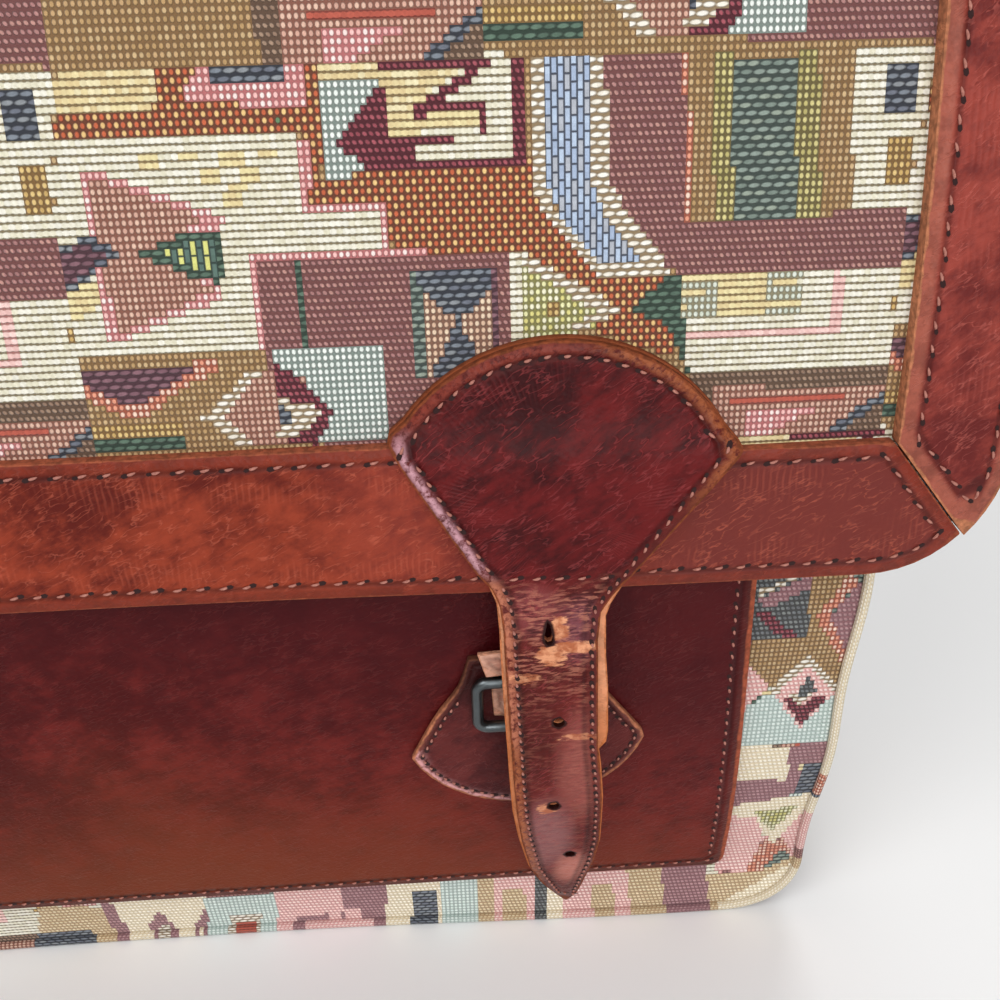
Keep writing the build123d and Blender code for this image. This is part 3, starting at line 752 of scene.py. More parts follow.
def frontPattern(x, t):  # as drawn, and the repeat where nothing is drawn
    drawn = patternAt(x, t, frontShapes)
    return np.where(drawn < 0, repeatPattern(x + frontCloth["shift"][0], t + frontCloth["shift"][1]), drawn)


frontTapestry, column, row, middle = gridSheet("front_tapestry", columns, rows, frontClothPlace)
x, t = (middle[:, 0] - 0.5) * case["width"], middle[:, 1] * case["mouth"]
dyeCloth(frontTapestry, column, row, frontPattern(x, t),
         1 + frontCloth["paintedLight"] * smooth(t, frontCloth["paleTop"], frontCloth["paleLow"]))
trim(frontTapestry, outlineOut(x, t, case["width"] / 2, 0, case["corner"], panelInset))
finishPiece(frontTapestry, tapestry, "bag", ["front_panel"])

backTop = flap["hingeZ"] - backCloth["short"]
rows = round(backTop / weave["up"])


def backClothPlace(u, v):
    x, z = (0.5 - u) * case["width"], v * backTop
    return np.stack([x, backY(0.0, z), z], axis=-1)


backTapestry, column, row, middle = gridSheet("back_tapestry", columns, rows, backClothPlace)
x, t = (middle[:, 0] - 0.5) * case["width"], middle[:, 1] * backTop
dyeCloth(backTapestry, column, row, repeatPattern(x + backCloth["shift"][0], t + backCloth["shift"][1]))
trim(backTapestry, outlineOut(x, t, case["width"] / 2, 0, case["corner"], panelInset))
finishPiece(backTapestry, tapestry, "bag", ["back_panel"])

# Gusset: one strip down one side, along the bottom and up the other side
sideRun = case["mouth"] - case["corner"]
turnRun = case["corner"] * math.pi / 2
baseRun = case["width"] - 2 * case["corner"]
seamLength = 2 * sideRun + 2 * turnRun + baseRun


def seamPoint(s, inset):  # along the case's outline from the mouth at -X to the mouth at +X
    half, radius = case["width"] / 2 - inset, case["corner"] - inset
    centreX, centreZ = case["width"] / 2 - case["corner"], case["corner"]
    firstTurn = np.clip((s - sideRun) / case["corner"], 0, math.pi / 2)
    lastTurn = np.clip((s - sideRun - turnRun - baseRun) / case["corner"], 0, math.pi / 2)
    base = np.clip(s - sideRun - turnRun, 0, baseRun)
    x = np.where(s <= sideRun, -half, np.where(s >= seamLength - sideRun, half,
                 np.where(base <= 0, -centreX - radius * np.cos(firstTurn),
                          np.where(base >= baseRun, centreX + radius * np.sin(lastTurn), -centreX + base))))
    z = np.where(s <= sideRun, case["mouth"] - s,
                 np.where(s >= seamLength - sideRun, centreZ + s - (seamLength - sideRun),
                          np.where(base >= baseRun, centreZ - radius * np.cos(lastTurn),
                                   centreZ - radius * np.sin(firstTurn))))
    return x, z


gussetCloth = {"inset": 0.0006, "seam": 0.0012, "sag": 0.0022, "sagUp": 0.6, "sagAcross": 0.7, "wide": 0.098,
               "shift": (0.31, 0.16)}


def sideDip(s, v):  # how far the soft sides fall in
    upSide = np.clip(np.minimum(s, seamLength - s) / sideRun, 0, 1)
    rise = np.where(upSide < 1, np.sin(upSide * math.pi) ** gussetCloth["sagUp"], 0)
    return gussetCloth["sag"] * np.sin(v * math.pi) ** gussetCloth["sagAcross"] * rise


def gussetPlace(u, v):
    s = u * seamLength
    x, z = seamPoint(s, gussetCloth["inset"])
    x = x - np.sign(x) * sideDip(s, v)
    front, back = frontY(-gussetCloth["seam"], z), backY(-gussetCloth["seam"], z)
    return slumped(np.stack([x, back + v * (front - back), z], axis=-1))


columns, rows = round(seamLength / weave["across"]), round(gussetCloth["wide"] / weave["up"])
gussetTapestry, column, row, middle = gridSheet("gusset_tapestry", columns, rows, gussetPlace)
s, across = middle[:, 0] * seamLength, middle[:, 1] * gussetCloth["wide"]
dyeCloth(gussetTapestry, column, row, repeatPattern(s - gussetCloth["shift"][0],
                                                    across + gussetCloth["shift"][1]))
finishPiece(gussetTapestry, tapestry, "bag", ["gusset"])
z = seamPoint(np.linspace(0, seamLength, 400), gussetCloth["inset"])[1]
print("case tapestry", len(frontTapestry.data.polygons), len(backTapestry.data.polygons),
      len(gussetTapestry.data.polygons))

# Piping: a welt covered in tapestry round each panel, with a thin brown cord outside it
piping = {"radius": 0.0012, "inset": 0.0013, "lift": 0.0006, "sides": 10, "cord": 0.00045,
          "cordInset": 0.0002, "cordLift": -0.0004, "cordSides": 8, "endShort": 2e-4, "paleX": 0.174,
          "paleZ": 0.06}


def tubeSheet(name, length, sides, radius, path):
    columns = round(length / weave["across"])

    def place(u, v):
        s = u * length
        centre, outward = path(s)
        ahead = path(s + 1e-4)[0]
        along = (ahead - centre) / np.linalg.norm(ahead - centre, axis=1)[:, None]
        outward = outward - along * np.sum(outward * along, axis=1)[:, None]
        outward /= np.linalg.norm(outward, axis=1)[:, None]
        side = np.cross(along, outward)
        angle = v[:, None] * 2 * math.pi
        return centre + radius * (np.cos(angle) * outward + np.sin(angle) * side)

    obj, column, row, middle = gridSheet(name, columns, sides, place)
    shape = bmesh.new()
    shape.from_mesh(obj.data)
    bmesh.ops.remove_doubles(shape, verts=shape.verts, dist=1e-6)
    ends = [edge for edge in shape.edges if edge.is_boundary]
    bmesh.ops.holes_fill(shape, edges=ends, sides=sides)
    bmesh.ops.recalc_face_normals(shape, faces=shape.faces)
    shape.to_mesh(obj.data)
    shape.free()
    return obj, column, row, middle


def seamPath(front, inset, lift):
    def path(s):
        x, z = seamPoint(s, inset)
        y = frontY(lift, z) if front else backY(lift, z)
        outward = np.stack([np.zeros_like(x), np.full_like(x, -1.0 if front else 1.0), np.zeros_like(x)],
                           axis=-1)
        return slumped(np.stack([x, y, z], axis=-1)), outward
    return path


cordLeather = plainMaterial("cord_leather", linear((112, 62, 44)), 0.6)

for label, front in (("front", True), ("back", False)):
    welt, column, row, middle = tubeSheet(label + "_welt", seamLength - piping["endShort"], piping["sides"],
                                          piping["radius"],
                                          seamPath(front, piping["inset"], piping["lift"]))
    extra = len(welt.data.polygons) - len(column)  # the two end faces
    column, row = np.append(column, [0] * extra), np.append(row, [0] * extra)
    s = np.append(middle[:, 0], [0] * extra) * seamLength
    x, z = (np.asarray(v, float) for v in seamPoint(s, piping["inset"]))
    drawn = frontPattern(x, z)
    # the welt up the case's sides takes the pale cream look, painted light as on the lower front
    drawn[(np.abs(x) > piping["paleX"]) & (z > piping["paleZ"])] = lookNames.index("creamWithPaintedLight")
    dyeCloth(welt, column, row, drawn)
    finishPiece(welt, tapestry, "bag", [label + "_piping"])
    cord = tubeSheet(label + "_cord", seamLength - piping["endShort"], piping["cordSides"], piping["cord"],
                     seamPath(front, piping["cordInset"], piping["cordLift"]))[0]
    finishPiece(cord, cordLeather, "bag", ())
print("piping done")

# Line of the straps, seen from the side: on the flap and its border, then arched over the buckle
border = {"bottom": 0.031, "side": 0.024, "mitreGap": 0.0004, "spacing": 0.005, "proud": 0.0006,
          "upperInset": 0.0030, "lowerInset": 0.0037, "sideInset": 0.0040, "pitch": 0.0047,
          "sidePitch": 0.0046, "lowerUpTo": 0.02, "widen": 0.0026, "widenX": 0.080, "narrow": 0.0012,
          "narrowX": 0.136, "droop": 0.0013, "droopFrom": 0.02, "droopTo": 0.13, "droopHigh": 0.02,
          "edgeX": (0.02, 0.05, 0.08, 0.11, 0.14)}
mitreTop = flap["edge"] + border["bottom"]
strap = {"x": 0.10593, "drop": 0.1114, "pastTip": 0.002, "humpDrop": 0.0404, "humpLift": 0.015,
         "tipLift": 0.0045, "ply": 0.0015, "spacing": 0.003, "bevel": 0.0007, "underBevel": 0.0004,
         "underGrow": 0.0003, "stepLow": 0.001, "stepHigh": 0.008, "leaveLow": 0.008, "leaveHigh": 0.005,
         "headInset": 0.0030, "leftInset": 0.0022, "rightInset": 0.0012, "insetLow": 0.001,
         "insetHigh": 0.012, "headPitch": 0.0038, "runPitch": 0.0026, "runBelow": 0.004, "rowPitch": 0.0047,
         "rowX": 0.0120, "rowLeft": 0.0044, "rowRight": 0.0034, "hole": 0.0013, "underHole": 0.9}


def circleThrough(a, b, c):
    (x1, y1), (x2, y2), (x3, y3) = a, b, c
    d = 2 * (x1 * (y2 - y3) + x2 * (y3 - y1) + x3 * (y1 - y2))
    s1, s2, s3 = x1 ** 2 + y1 ** 2, x2 ** 2 + y2 ** 2, x3 ** 2 + y3 ** 2
    ux = (s1 * (y2 - y3) + s2 * (y3 - y1) + s3 * (y1 - y2)) / d
    uy = (s1 * (x3 - x2) + s2 * (x1 - x3) + s3 * (x2 - x1)) / d
    return ux, uy, math.hypot(x1 - ux, y1 - uy)


humpZ, tipZ = flap["edge"] - strap["humpDrop"], flap["edge"] - strap["drop"] - strap["pastTip"]
arcY, arcZ, arcRadius = circleThrough((float(frontY(layers["strap"], flap["edge"])), flap["edge"]),
                                      (float(frontY(strap["humpLift"], humpZ)), humpZ),
                                      (float(frontY(strap["tipLift"], tipZ)), tipZ))


def headLift(t):  # underside of the head: on the border, and further up on the cloth
    past = smooth(t, mitreTop - strap["stepLow"], mitreTop + strap["stepHigh"])
    return layers["strap"] - (layers["strap"] - layers["strapOnCloth"]) * past


def strapSpot(px, py):  # pixel of the photo to (x, height) on the right strap's upper face
    spot = onArc(px, py, arcY, arcZ, arcRadius + 2 * strap["ply"])
    if spot[1] < flap["edge"]:
        return spot
    for _ in range(4):
        spot = fromPhoto(px, py, float(headLift(spot[1])) + 2 * strap["ply"])
    return spot


# Leather
leatherBase = {"gloss": 0.5, "ridges": 0.0, "edgeReach": 0.0004}  # unless a leather says otherwise
leatherLooks = {
    "border_leather": {
        "dark": (84, 22, 14), "light": (138, 54, 33), "rim": (126, 48, 32), "edge": (158, 84, 58),
        "cloud": 30, "creases": (190, 190, 700), "angle": 28, "inset": 0.0032, "line": 0.34, "ridges": 0.5,
        "drifts": [{"along": (1, 0), "from": 0.112, "to": 0.136, "ragged": 0.02, "share": 0.9,
                    "colour": (76, 30, 28)},
                   {"along": (1, 0.4), "from": 0.105, "to": 0.142, "ragged": 0.05, "share": 0.35,
                    "colour": (136, 56, 48)}]},
    "side_leather": {
        "dark": (92, 28, 26), "light": (140, 58, 48), "rim": (164, 92, 74), "edge": (186, 118, 84),
        "edgeReach": 0.0006, "cloud": 30, "creases": (190, 190, 700), "angle": 35, "inset": 0.0040,
        "line": 0.3, "ridges": 0.3},
    "strap_leather": {
        "dark": (48, 5, 8), "light": (94, 19, 20), "rim": (92, 30, 24), "edge": (132, 66, 38),
        "edgeReach": 0.0005, "cloud": 26, "creases": (180, 180, 620), "angle": 32, "inset": 0.0030,
        "line": 0.42, "ridges": 0.4, "hub": (0.1062, 0.151, 0.034), "mottle": 0.3,
        # along the rolled rim: painted highlights, lilac on the fan's lower left and red-brown at its top
        # left; worn and raw tan on the fan's upper right; on the run's left rim worn tan with a painted
        # highlight
        "rimSheensAndWear": [{"x": (0.101, 0.096), "z": [(0.171, 0.167), (0.135, 0.140)], "share": 0.85,
                       "in": 0.0013, "wide": 0.0009, "colour": (200, 152, 162)},
                      {"x": (0.108, 0.120), "z": [(0.148, 0.160)], "share": 0.85, "in": 0.0007,
                       "wide": 0.0015, "colour": (152, 84, 50)},
                      {"x": (0.118, 0.102), "z": [(0.165, 0.172)], "share": 0.9, "in": 0.0013, "wide": 0.0018,
                       "colour": (124, 52, 40)},
                      {"x": (0.105, 0.100), "z": [(0.140, 0.134), (0.086, 0.098)], "share": 0.9, "in": 0.0008,
                       "wide": 0.0014, "colour": (182, 112, 86)},
                      {"x": (0.105, 0.100), "z": [(0.100, 0.086)], "share": 0.85, "in": 0.0006,
                       "wide": 0.0015, "colour": (166, 96, 60)}]},
    "tab_leather": {
        "dark": (64, 18, 20), "light": (94, 36, 34), "rim": (116, 60, 52), "edge": (186, 116, 84),
        "edgeReach": 0.0007, "cloud": 26, "creases": (190, 190, 660), "angle": 40, "inset": 0.0018,
        # painted shadow: the tab darkens towards its top, under the fold
        "line": 0.16, "lateDrifts": [{"from": 0.090, "to": 0.104, "share": 0.8, "colour": (38, 9, 9)}],
        # painted highlight: pink along the tab's lower left rim
        "rimSheensAndWear": [{"x": (0.106, 0.098), "z": [(0.083, 0.079)], "share": 0.95, "in": 0.0008,
                       "wide": 0.0014, "colour": (218, 156, 156)}]},
    "pocket_leather": {
        "dark": (68, 8, 8), "light": (106, 30, 26), "rim": (84, 28, 22), "edge": (166, 84, 58), "cloud": 12,
        "creases": (190, 190, 660), "angle": 25, "inset": 0.0034, "line": 0.1, "sideEdge": 0.0015,
        "drifts": [{"along": (-0.35, -1), "from": -0.110, "to": -0.018, "ragged": 0.06, "share": 0.85,
                    "colour": (112, 48, 18)},
                   # painted shadow of the flap: darker towards the pocket's top
                   {"along": (0.25, 1), "from": 0.085, "to": 0.135, "ragged": 0.05, "share": 0.8,
                    "colour": (58, 3, 10)}]},
    "under_leather": {
        # the pale tan up the run is partly a painted highlight; lower down it turns more orange, and darker
        # on the head
        "dark": (186, 110, 72), "light": (232, 168, 130), "rim": (222, 148, 108), "edge": (200, 122, 80),
        "cloud": 40, "creases": (300, 300, 900), "angle": 0, "inset": 0.004, "gloss": 0.75, "line": 0.15,
        "lateDrifts": [{"from": 0.134, "to": 0.142, "share": 0.85, "colour": (112, 52, 28)},
                       {"from": 0.108, "to": 0.098, "share": 0.6, "colour": (186, 104, 56)}]},
    "loop_leather": {
        "dark": (190, 128, 108), "light": (228, 176, 154), "rim": (220, 166, 142), "edge": (214, 150, 120),
        "cloud": 60, "creases": (300, 300, 900), "angle": 0, "inset": 0.0018, "gloss": 0.6, "line": 0.2},
    "lining_leather": {
        "dark": (104, 54, 40), "light": (138, 80, 58), "rim": (140, 82, 60), "edge": (176, 106, 66),
        "edgeReach": 0.0006, "cloud": 22, "creases": (160, 160, 500), "angle": 30, "inset": 0.0034,
        "gloss": 0.6, "line": 0.2},
}


def alongLines(tree, angle, scale):  # object place, turned in the front's plane and then stretched
    turned = tree.nodes.new("ShaderNodeMapping")
    turned.inputs["Rotation"].default_value = (0, math.radians(angle), 0)
    plug(turned.inputs["Vector"], objectPlace(tree))
    stretched = tree.nodes.new("ShaderNodeMapping")
    stretched.inputs["Scale"].default_value = scale
    plug(stretched.inputs["Vector"], turned.outputs["Vector"])
    return stretched.outputs["Vector"]


def bell(value, centre, width):
    away = calc("DIVIDE", less(value, centre), width)
    return calc("POWER", 2.7183, times(times(away, away), -1.0))


hide = {"blot": 75, "fine": 210, "pores": 950, "mottle": (150, 150, 420), "cloudShare": 0.36,
        "blotShare": 0.24, "fineShare": 0.40, "mottleShare": 0.22, "tone": (0.42, 0.58), "netSway": 1.2,
        "netLine": 0.04, "netPatch": 170, "netPatches": (0.38, 0.60), "paler": (1.15, 38), "ribPitch": 0.0013,
        "ribSway": 0.0022, "ribIn": 0.0042, "ribReach": 0.0034, "ribPatch": 120, "ribPatches": (0.42, 0.64),
        "groove": 0.0006, "sheenPatch": 620, "sheenPatches": (0.34, 0.58), "rawPatch": 700, "wornPatch": 500,
        "worn": ((226, 158, 118), (172, 98, 64)), "torn": (330, 330, 1300), "foldFade": 0.006,
        "foldEdge": (0.0012, 0.003), "foldPatch": 160, "foldPatches": (0.30, 0.52), "hole": (0.0009, 0.0003),
        "holeColour": (44, 16, 14), "ribTint": 0.3, "rimInner": 0.55, "rimPatches": (0.4, 0.6),
        "rimDarker": 0.8, "rimTint": 0.7, "grooveTint": 0.5, "grooveDarker": 0.55, "rawMiddle": 0.45,
        "rawRagged": 2.4, "rawInner": 0.35, "sideInner": 0.6, "rawPatches": (0.3, 0.7), "rawDarker": 0.74,
        "wornPatches": (0.35, 0.65), "foldSway": 2.0, "foldCrestHighlight": (0.49, 0.60), "crestTint": 0.7,
        "foldHollowShade": (0.47, 0.38), "hollowTint": 0.75, "scuffInner": 0.4, "fineRough": 0.35, "rimGloss": 0.12,
        "rimGlossReach": 0.35, "rawRough": 0.3, "poreHeight": 0.35, "netHeight": 0.6, "fineHeight": 0.5,
        "ribHeight": 0.5, "grooveDepth": 1.5, "rimFall": 1.6, "specular": 0.13, "bump": 0.0006,
        "bumpShare": 0.5}


def makeLeather(name, look, run=None, scuffs=(), wrinkles=None, sheens=(), punched=False):
    material, tree, surface = newMaterial(name)
    place = objectPlace(tree)
    split = tree.nodes.new("ShaderNodeSeparateXYZ")
    plug(split.inputs[0], place)
    x, z = calc("ABSOLUTE", split.outputs[0]), split.outputs[2]
    edge = readAttribute(tree, "edgeDist")
    cloud, blot = noise(place, look["cloud"], 3, 0.55), noise(place, hide["blot"], 3, 0.6)
    fine = noise(place, hide["fine"], 4, 0.65)
    grain = cells(place, hide["pores"])
    mottle = noise(wavy(alongLines(tree, look["angle"], hide["mottle"]), blot), 1.0, 4, 0.65)
    mottleShare = look.get("mottle", hide["mottleShare"])
    tone = plus(times(cloud, hide["cloudShare"]), times(blot, hide["blotShare"]))
    tone = plus(tone, times(mottle, mottleShare))
    tone = plus(tone, times(fine, hide["fineShare"] - mottleShare))
    tone = ramp(tone, *hide["tone"])
    colour = tint(tone, linear(look["dark"]), linear(look["light"]))
    for drift in look.get("drifts", ()):  # slow change of tone along the piece; on the pocket one of them is the flap's painted shadow
        way = plus(times(x, drift["along"][0]), times(z, drift["along"][1]))
        way = plus(way, times(less(cloud, 0.5), drift["ragged"]))
        way = times(ramp(way, drift["from"], drift["to"]), drift["share"])
        colour = tint(way, colour, linear(drift["colour"]))
    if run:  # paler below the head
        way = times(ramp(z, run["from"], run["to"]), run["share"])
        colour = tint(way, colour, linear(run["colour"]))

    def darker(part, share):
        return linear([v * share for v in look[part]])

    def spotAt(spot):  # 0 in the middle of a spot, 1 at its edge
        across = calc("DIVIDE", less(x, spot["at"][0]), spot["reach"][0])
        down = calc("DIVIDE", less(z, spot["at"][1]), spot["reach"][1])
        return plus(times(across, across), times(down, down))

    for sheen in sheens:  # painted sheen: paler patches of reflected light, and one darker patch, soft at the edges
        colour = tint(times(ramp(spotAt(sheen), 1.0, 0.0), sheen["share"]), colour, linear(sheen["colour"]))
    brighter, lifted = hide["paler"]
    paler = linear([min(255, v * brighter + lifted) for v in look["light"]])
    netSway = times(blot, hide["netSway"])
    netPlace = wavy(alongLines(tree, look["angle"], look["creases"]), netSway)
    net = calc("ABSOLUTE", less(noise(netPlace, 1.0, 2, 0.5), 0.5))
    netPatches = ramp(noise(place, hide["netPatch"], 3, 0.6), *hide["netPatches"])
    net = times(ramp(net, hide["netLine"], 0.0), netPatches)
    colour = tint(times(net, look["line"]), colour, paler)
    inset = look["inset"]
    ribs = split.outputs[0]
    if "hub" in look:  # ribs spread from the fan's middle
        hubX, hubZ, hubReach = look["hub"]
        ribs = calc("ARCTAN2", less(x, hubX), less(z, hubZ))
        ribs = times(ribs, hubReach)
    ribs = plus(ribs, times(blot, hide["ribSway"]))
    ribs = calc("SINE", times(ribs, 2 * math.pi / hide["ribPitch"]))
    ribs = times(ribs, bell(edge, inset + hide["ribIn"], hide["ribReach"]))
    ribPatches = ramp(noise(place, hide["ribPatch"], 2), *hide["ribPatches"])
    ribs = times(ribs, ribPatches)
    ribs = times(ribs, look["ridges"])
    colour = tint(times(ribs, hide["ribTint"], clamp=True), colour, paler)
    rim = ramp(edge, inset, inset * hide["rimInner"])
    rimTone = tint(ramp(fine, *hide["rimPatches"]), linear(look["rim"]), darker("rim", hide["rimDarker"]))
    colour = tint(times(rim, hide["rimTint"]), colour, rimTone)
    for sheen in look.get("rimSheensAndWear", ()):  # painted highlights and worn tan along parts of the rolled rim
        shared = times(ramp(x, *sheen["x"]), bell(edge, sheen["in"], sheen["wide"]))
        for span in sheen["z"]:
            shared = times(shared, ramp(z, *span))
        patches = ramp(noise(place, hide["sheenPatch"], 4, 0.7), *hide["sheenPatches"])
        shared = times(shared, patches)
        colour = tint(times(shared, sheen["share"]), colour, linear(sheen["colour"]))
    # painted shade along the stitch groove
    groove = bell(edge, inset, hide["groove"])
    colour = tint(times(groove, hide["grooveTint"]), colour, darker("dark", hide["grooveDarker"]))
    ragged = times(less(fine, hide["rawMiddle"]), look["edgeReach"] * hide["rawRagged"])
    raw = ramp(less(edge, ragged), look["edgeReach"], look["edgeReach"] * hide["rawInner"])
    if "sideEdge" in look:
        side = less(readAttribute(tree, "sideDist"), ragged)
        raw = calc("MAXIMUM", raw, ramp(side, look["sideEdge"], look["sideEdge"] * hide["sideInner"]))
    rawPatches = ramp(noise(place, hide["rawPatch"], 3), *hide["rawPatches"])
    rawTone = tint(rawPatches, linear(look["edge"]), darker("edge", hide["rawDarker"]))
    wornPatches = ramp(noise(place, hide["wornPatch"], 3), *hide["wornPatches"])
    wornTone = tint(wornPatches, *(linear(c) for c in hide["worn"]))
    wearHeight, bare = 0.0, 0.0
    if wrinkles:  # fine folds across the strap, strongest below the flap; painted highlight on their crests and painted shade in their hollows
        foldSway = times(blot, hide["foldSway"])
        folded = wavy(alongLines(tree, wrinkles["angle"], wrinkles["scale"]), foldSway)
        folds = noise(folded, 1.0, 3, 0.6)
        zone = calc("MAXIMUM", bell(z, wrinkles["z"], wrinkles["reach"]), wrinkles["least"])
        zone = times(zone, ramp(z, wrinkles["top"], wrinkles["top"] - hide["foldFade"]))
        zone = times(zone, ramp(edge, *hide["foldEdge"]))
        patches = ramp(noise(place, hide["foldPatch"], 2), *hide["foldPatches"])
        zone = times(zone, patches)
        # painted highlight on the fold crests
        foldCrestHighlight = times(ramp(folds, *hide["foldCrestHighlight"]), zone)
        colour = tint(times(foldCrestHighlight, hide["crestTint"]), colour, linear(wrinkles["tint"]))
        # painted shade in the fold hollows
        foldHollowShade = times(ramp(folds, *hide["foldHollowShade"]), zone)
        colour = tint(times(foldHollowShade, hide["hollowTint"]), colour, linear(wrinkles["hollowShadeColour"]))
        wearHeight = times(times(folds, zone), wrinkles["depth"])
    if scuffs:
        torn = less(noise(objectPlace(tree, hide["torn"]), 1.0, 4, 0.7), 0.5)
    for scuff in scuffs:  # rubbed through to the tan below, the same on both straps
        spot = plus(spotAt(scuff), times(torn, scuff["torn"]))
        bare = calc("MAXIMUM", bare, times(ramp(spot, 1.0, hide["scuffInner"]), scuff["worn"]))
    colour = tint(bare, colour, wornTone)
    colour = tint(raw, colour, rawTone)
    # tints by height: the tab's painted shadow at its top, and the under ply's tones
    for drift in look.get("lateDrifts", ()):
        way = times(ramp(z, drift["from"], drift["to"]), drift["share"])
        colour = tint(way, colour, linear(drift["colour"]))
    # painted shade round the punched holes
    if punched:
        hole = ramp(readAttribute(tree, "holeDist"), *hide["hole"])
        colour = tint(hole, colour, linear(hide["holeColour"]))
    plug(surface.inputs["Base Color"], colour)
    rough = plus(look["gloss"], times(less(fine, 0.5), hide["fineRough"]))
    rolled = bell(edge, inset * 0.5, inset * hide["rimGlossReach"])
    rough = less(rough, times(rolled, hide["rimGloss"]))
    rough = plus(rough, times(calc("MAXIMUM", raw, bare), hide["rawRough"]), clamp=True)
    plug(surface.inputs["Roughness"], rough)
    plug(surface.inputs["Specular IOR Level"], hide["specular"])
    height = plus(times(grain, hide["poreHeight"]), times(net, hide["netHeight"]))
    height = plus(height, times(fine, hide["fineHeight"]))
    height = plus(height, times(ribs, hide["ribHeight"]))
    height = less(height, times(groove, hide["grooveDepth"]))
    slope = less(1.0, calc("DIVIDE", edge, inset), clamp=True)
    height = less(height, times(times(slope, slope), hide["rimFall"]))
    bump(surface, plus(height, wearHeight), hide["bumpShare"], hide["bump"])
    return material


# Wear and painted sheen of the straps, placed on the photo's pixels
strapWearAndSheen = {"run": {"from": 0.139, "to": 0.131, "share": 0.3, "colour": (112, 44, 36)},
             # painted sheen: patches of reflected light on the strap's face, and one darker patch
             "sheens": [{"at": strapSpot(586, 768), "reach": (0.0090, 0.024), "share": 0.42,
                         "colour": (178, 104, 94)},
                        {"at": strapSpot(546, 838), "reach": (0.0085, 0.020), "share": 0.62,
                         "colour": (150, 102, 102)},
                        {"at": strapSpot(582, 632), "reach": (0.0075, 0.010), "share": 0.4,
                         "colour": (150, 92, 102)},
                        {"at": strapSpot(534, 612), "reach": (0.0080, 0.008), "share": 0.35,
                         "colour": (150, 82, 84)},
                        {"at": strapSpot(572, 868), "reach": (0.0060, 0.012), "share": 0.78,
                         "colour": (190, 118, 104)},
                        {"at": strapSpot(532, 722), "reach": (0.0090, 0.026), "share": 0.65,
                         "colour": (64, 16, 12)}],
             "scuffs": [{"at": strapSpot(575, 647), "reach": (0.0056, 0.0017), "worn": 0.9, "torn": 2.5},
                        {"at": strapSpot(552, 655), "reach": (0.0036, 0.0030), "worn": 0.85, "torn": 3.5},
                        {"at": strapSpot(559, 629), "reach": (0.0022, 0.0034), "worn": 0.85, "torn": 3.0},
                        {"at": strapSpot(525, 679), "reach": (0.0036, 0.0014), "worn": 0.6, "torn": 5.0},
                        {"at": strapSpot(580, 737), "reach": (0.0046, 0.0012), "worn": 0.6, "torn": 5.0},
                        {"at": strapSpot(547, 809), "reach": (0.0028, 0.0022), "worn": 0.7, "torn": 3.5}],
             # the colour of the crests is a painted highlight, the colour of the hollows painted shade
             "wrinkles": {"angle": 2, "scale": (310, 310, 1500), "z": 0.123, "reach": 0.017, "least": 0.22,
                          "top": 0.1385, "depth": 3.0, "tint": (176, 110, 90), "hollowShadeColour": (54, 12, 14)},
             "punched": True}
leathers = {}
for name, look in leatherLooks.items():
    wearAndSheen = strapWearAndSheen if name == "strap_leather" else {}
    leathers[name] = makeLeather(name, {**leatherBase, **look}, **wearAndSheen)


def finishLeather(obj, leather, body, nodes):
    return finishPiece(obj, leathers[leather], body, nodes, leatherCrease)


def outlineDistance(points, outlines):
    best = np.full(len(points), 1.0)
    for outline in outlines:
        ring = np.array(outline + outline[:1])
        for start, end in zip(ring[:-1], ring[1:]):
            step = end - start
            share = np.clip(((points - start) @ step) / max(step @ step, 1e-12), 0, 1)
            best = np.minimum(best, np.linalg.norm(points - start - share[:, None] * step, axis=1))
    return best


cutReach = 0.01  # of a hole's cutter, past each face


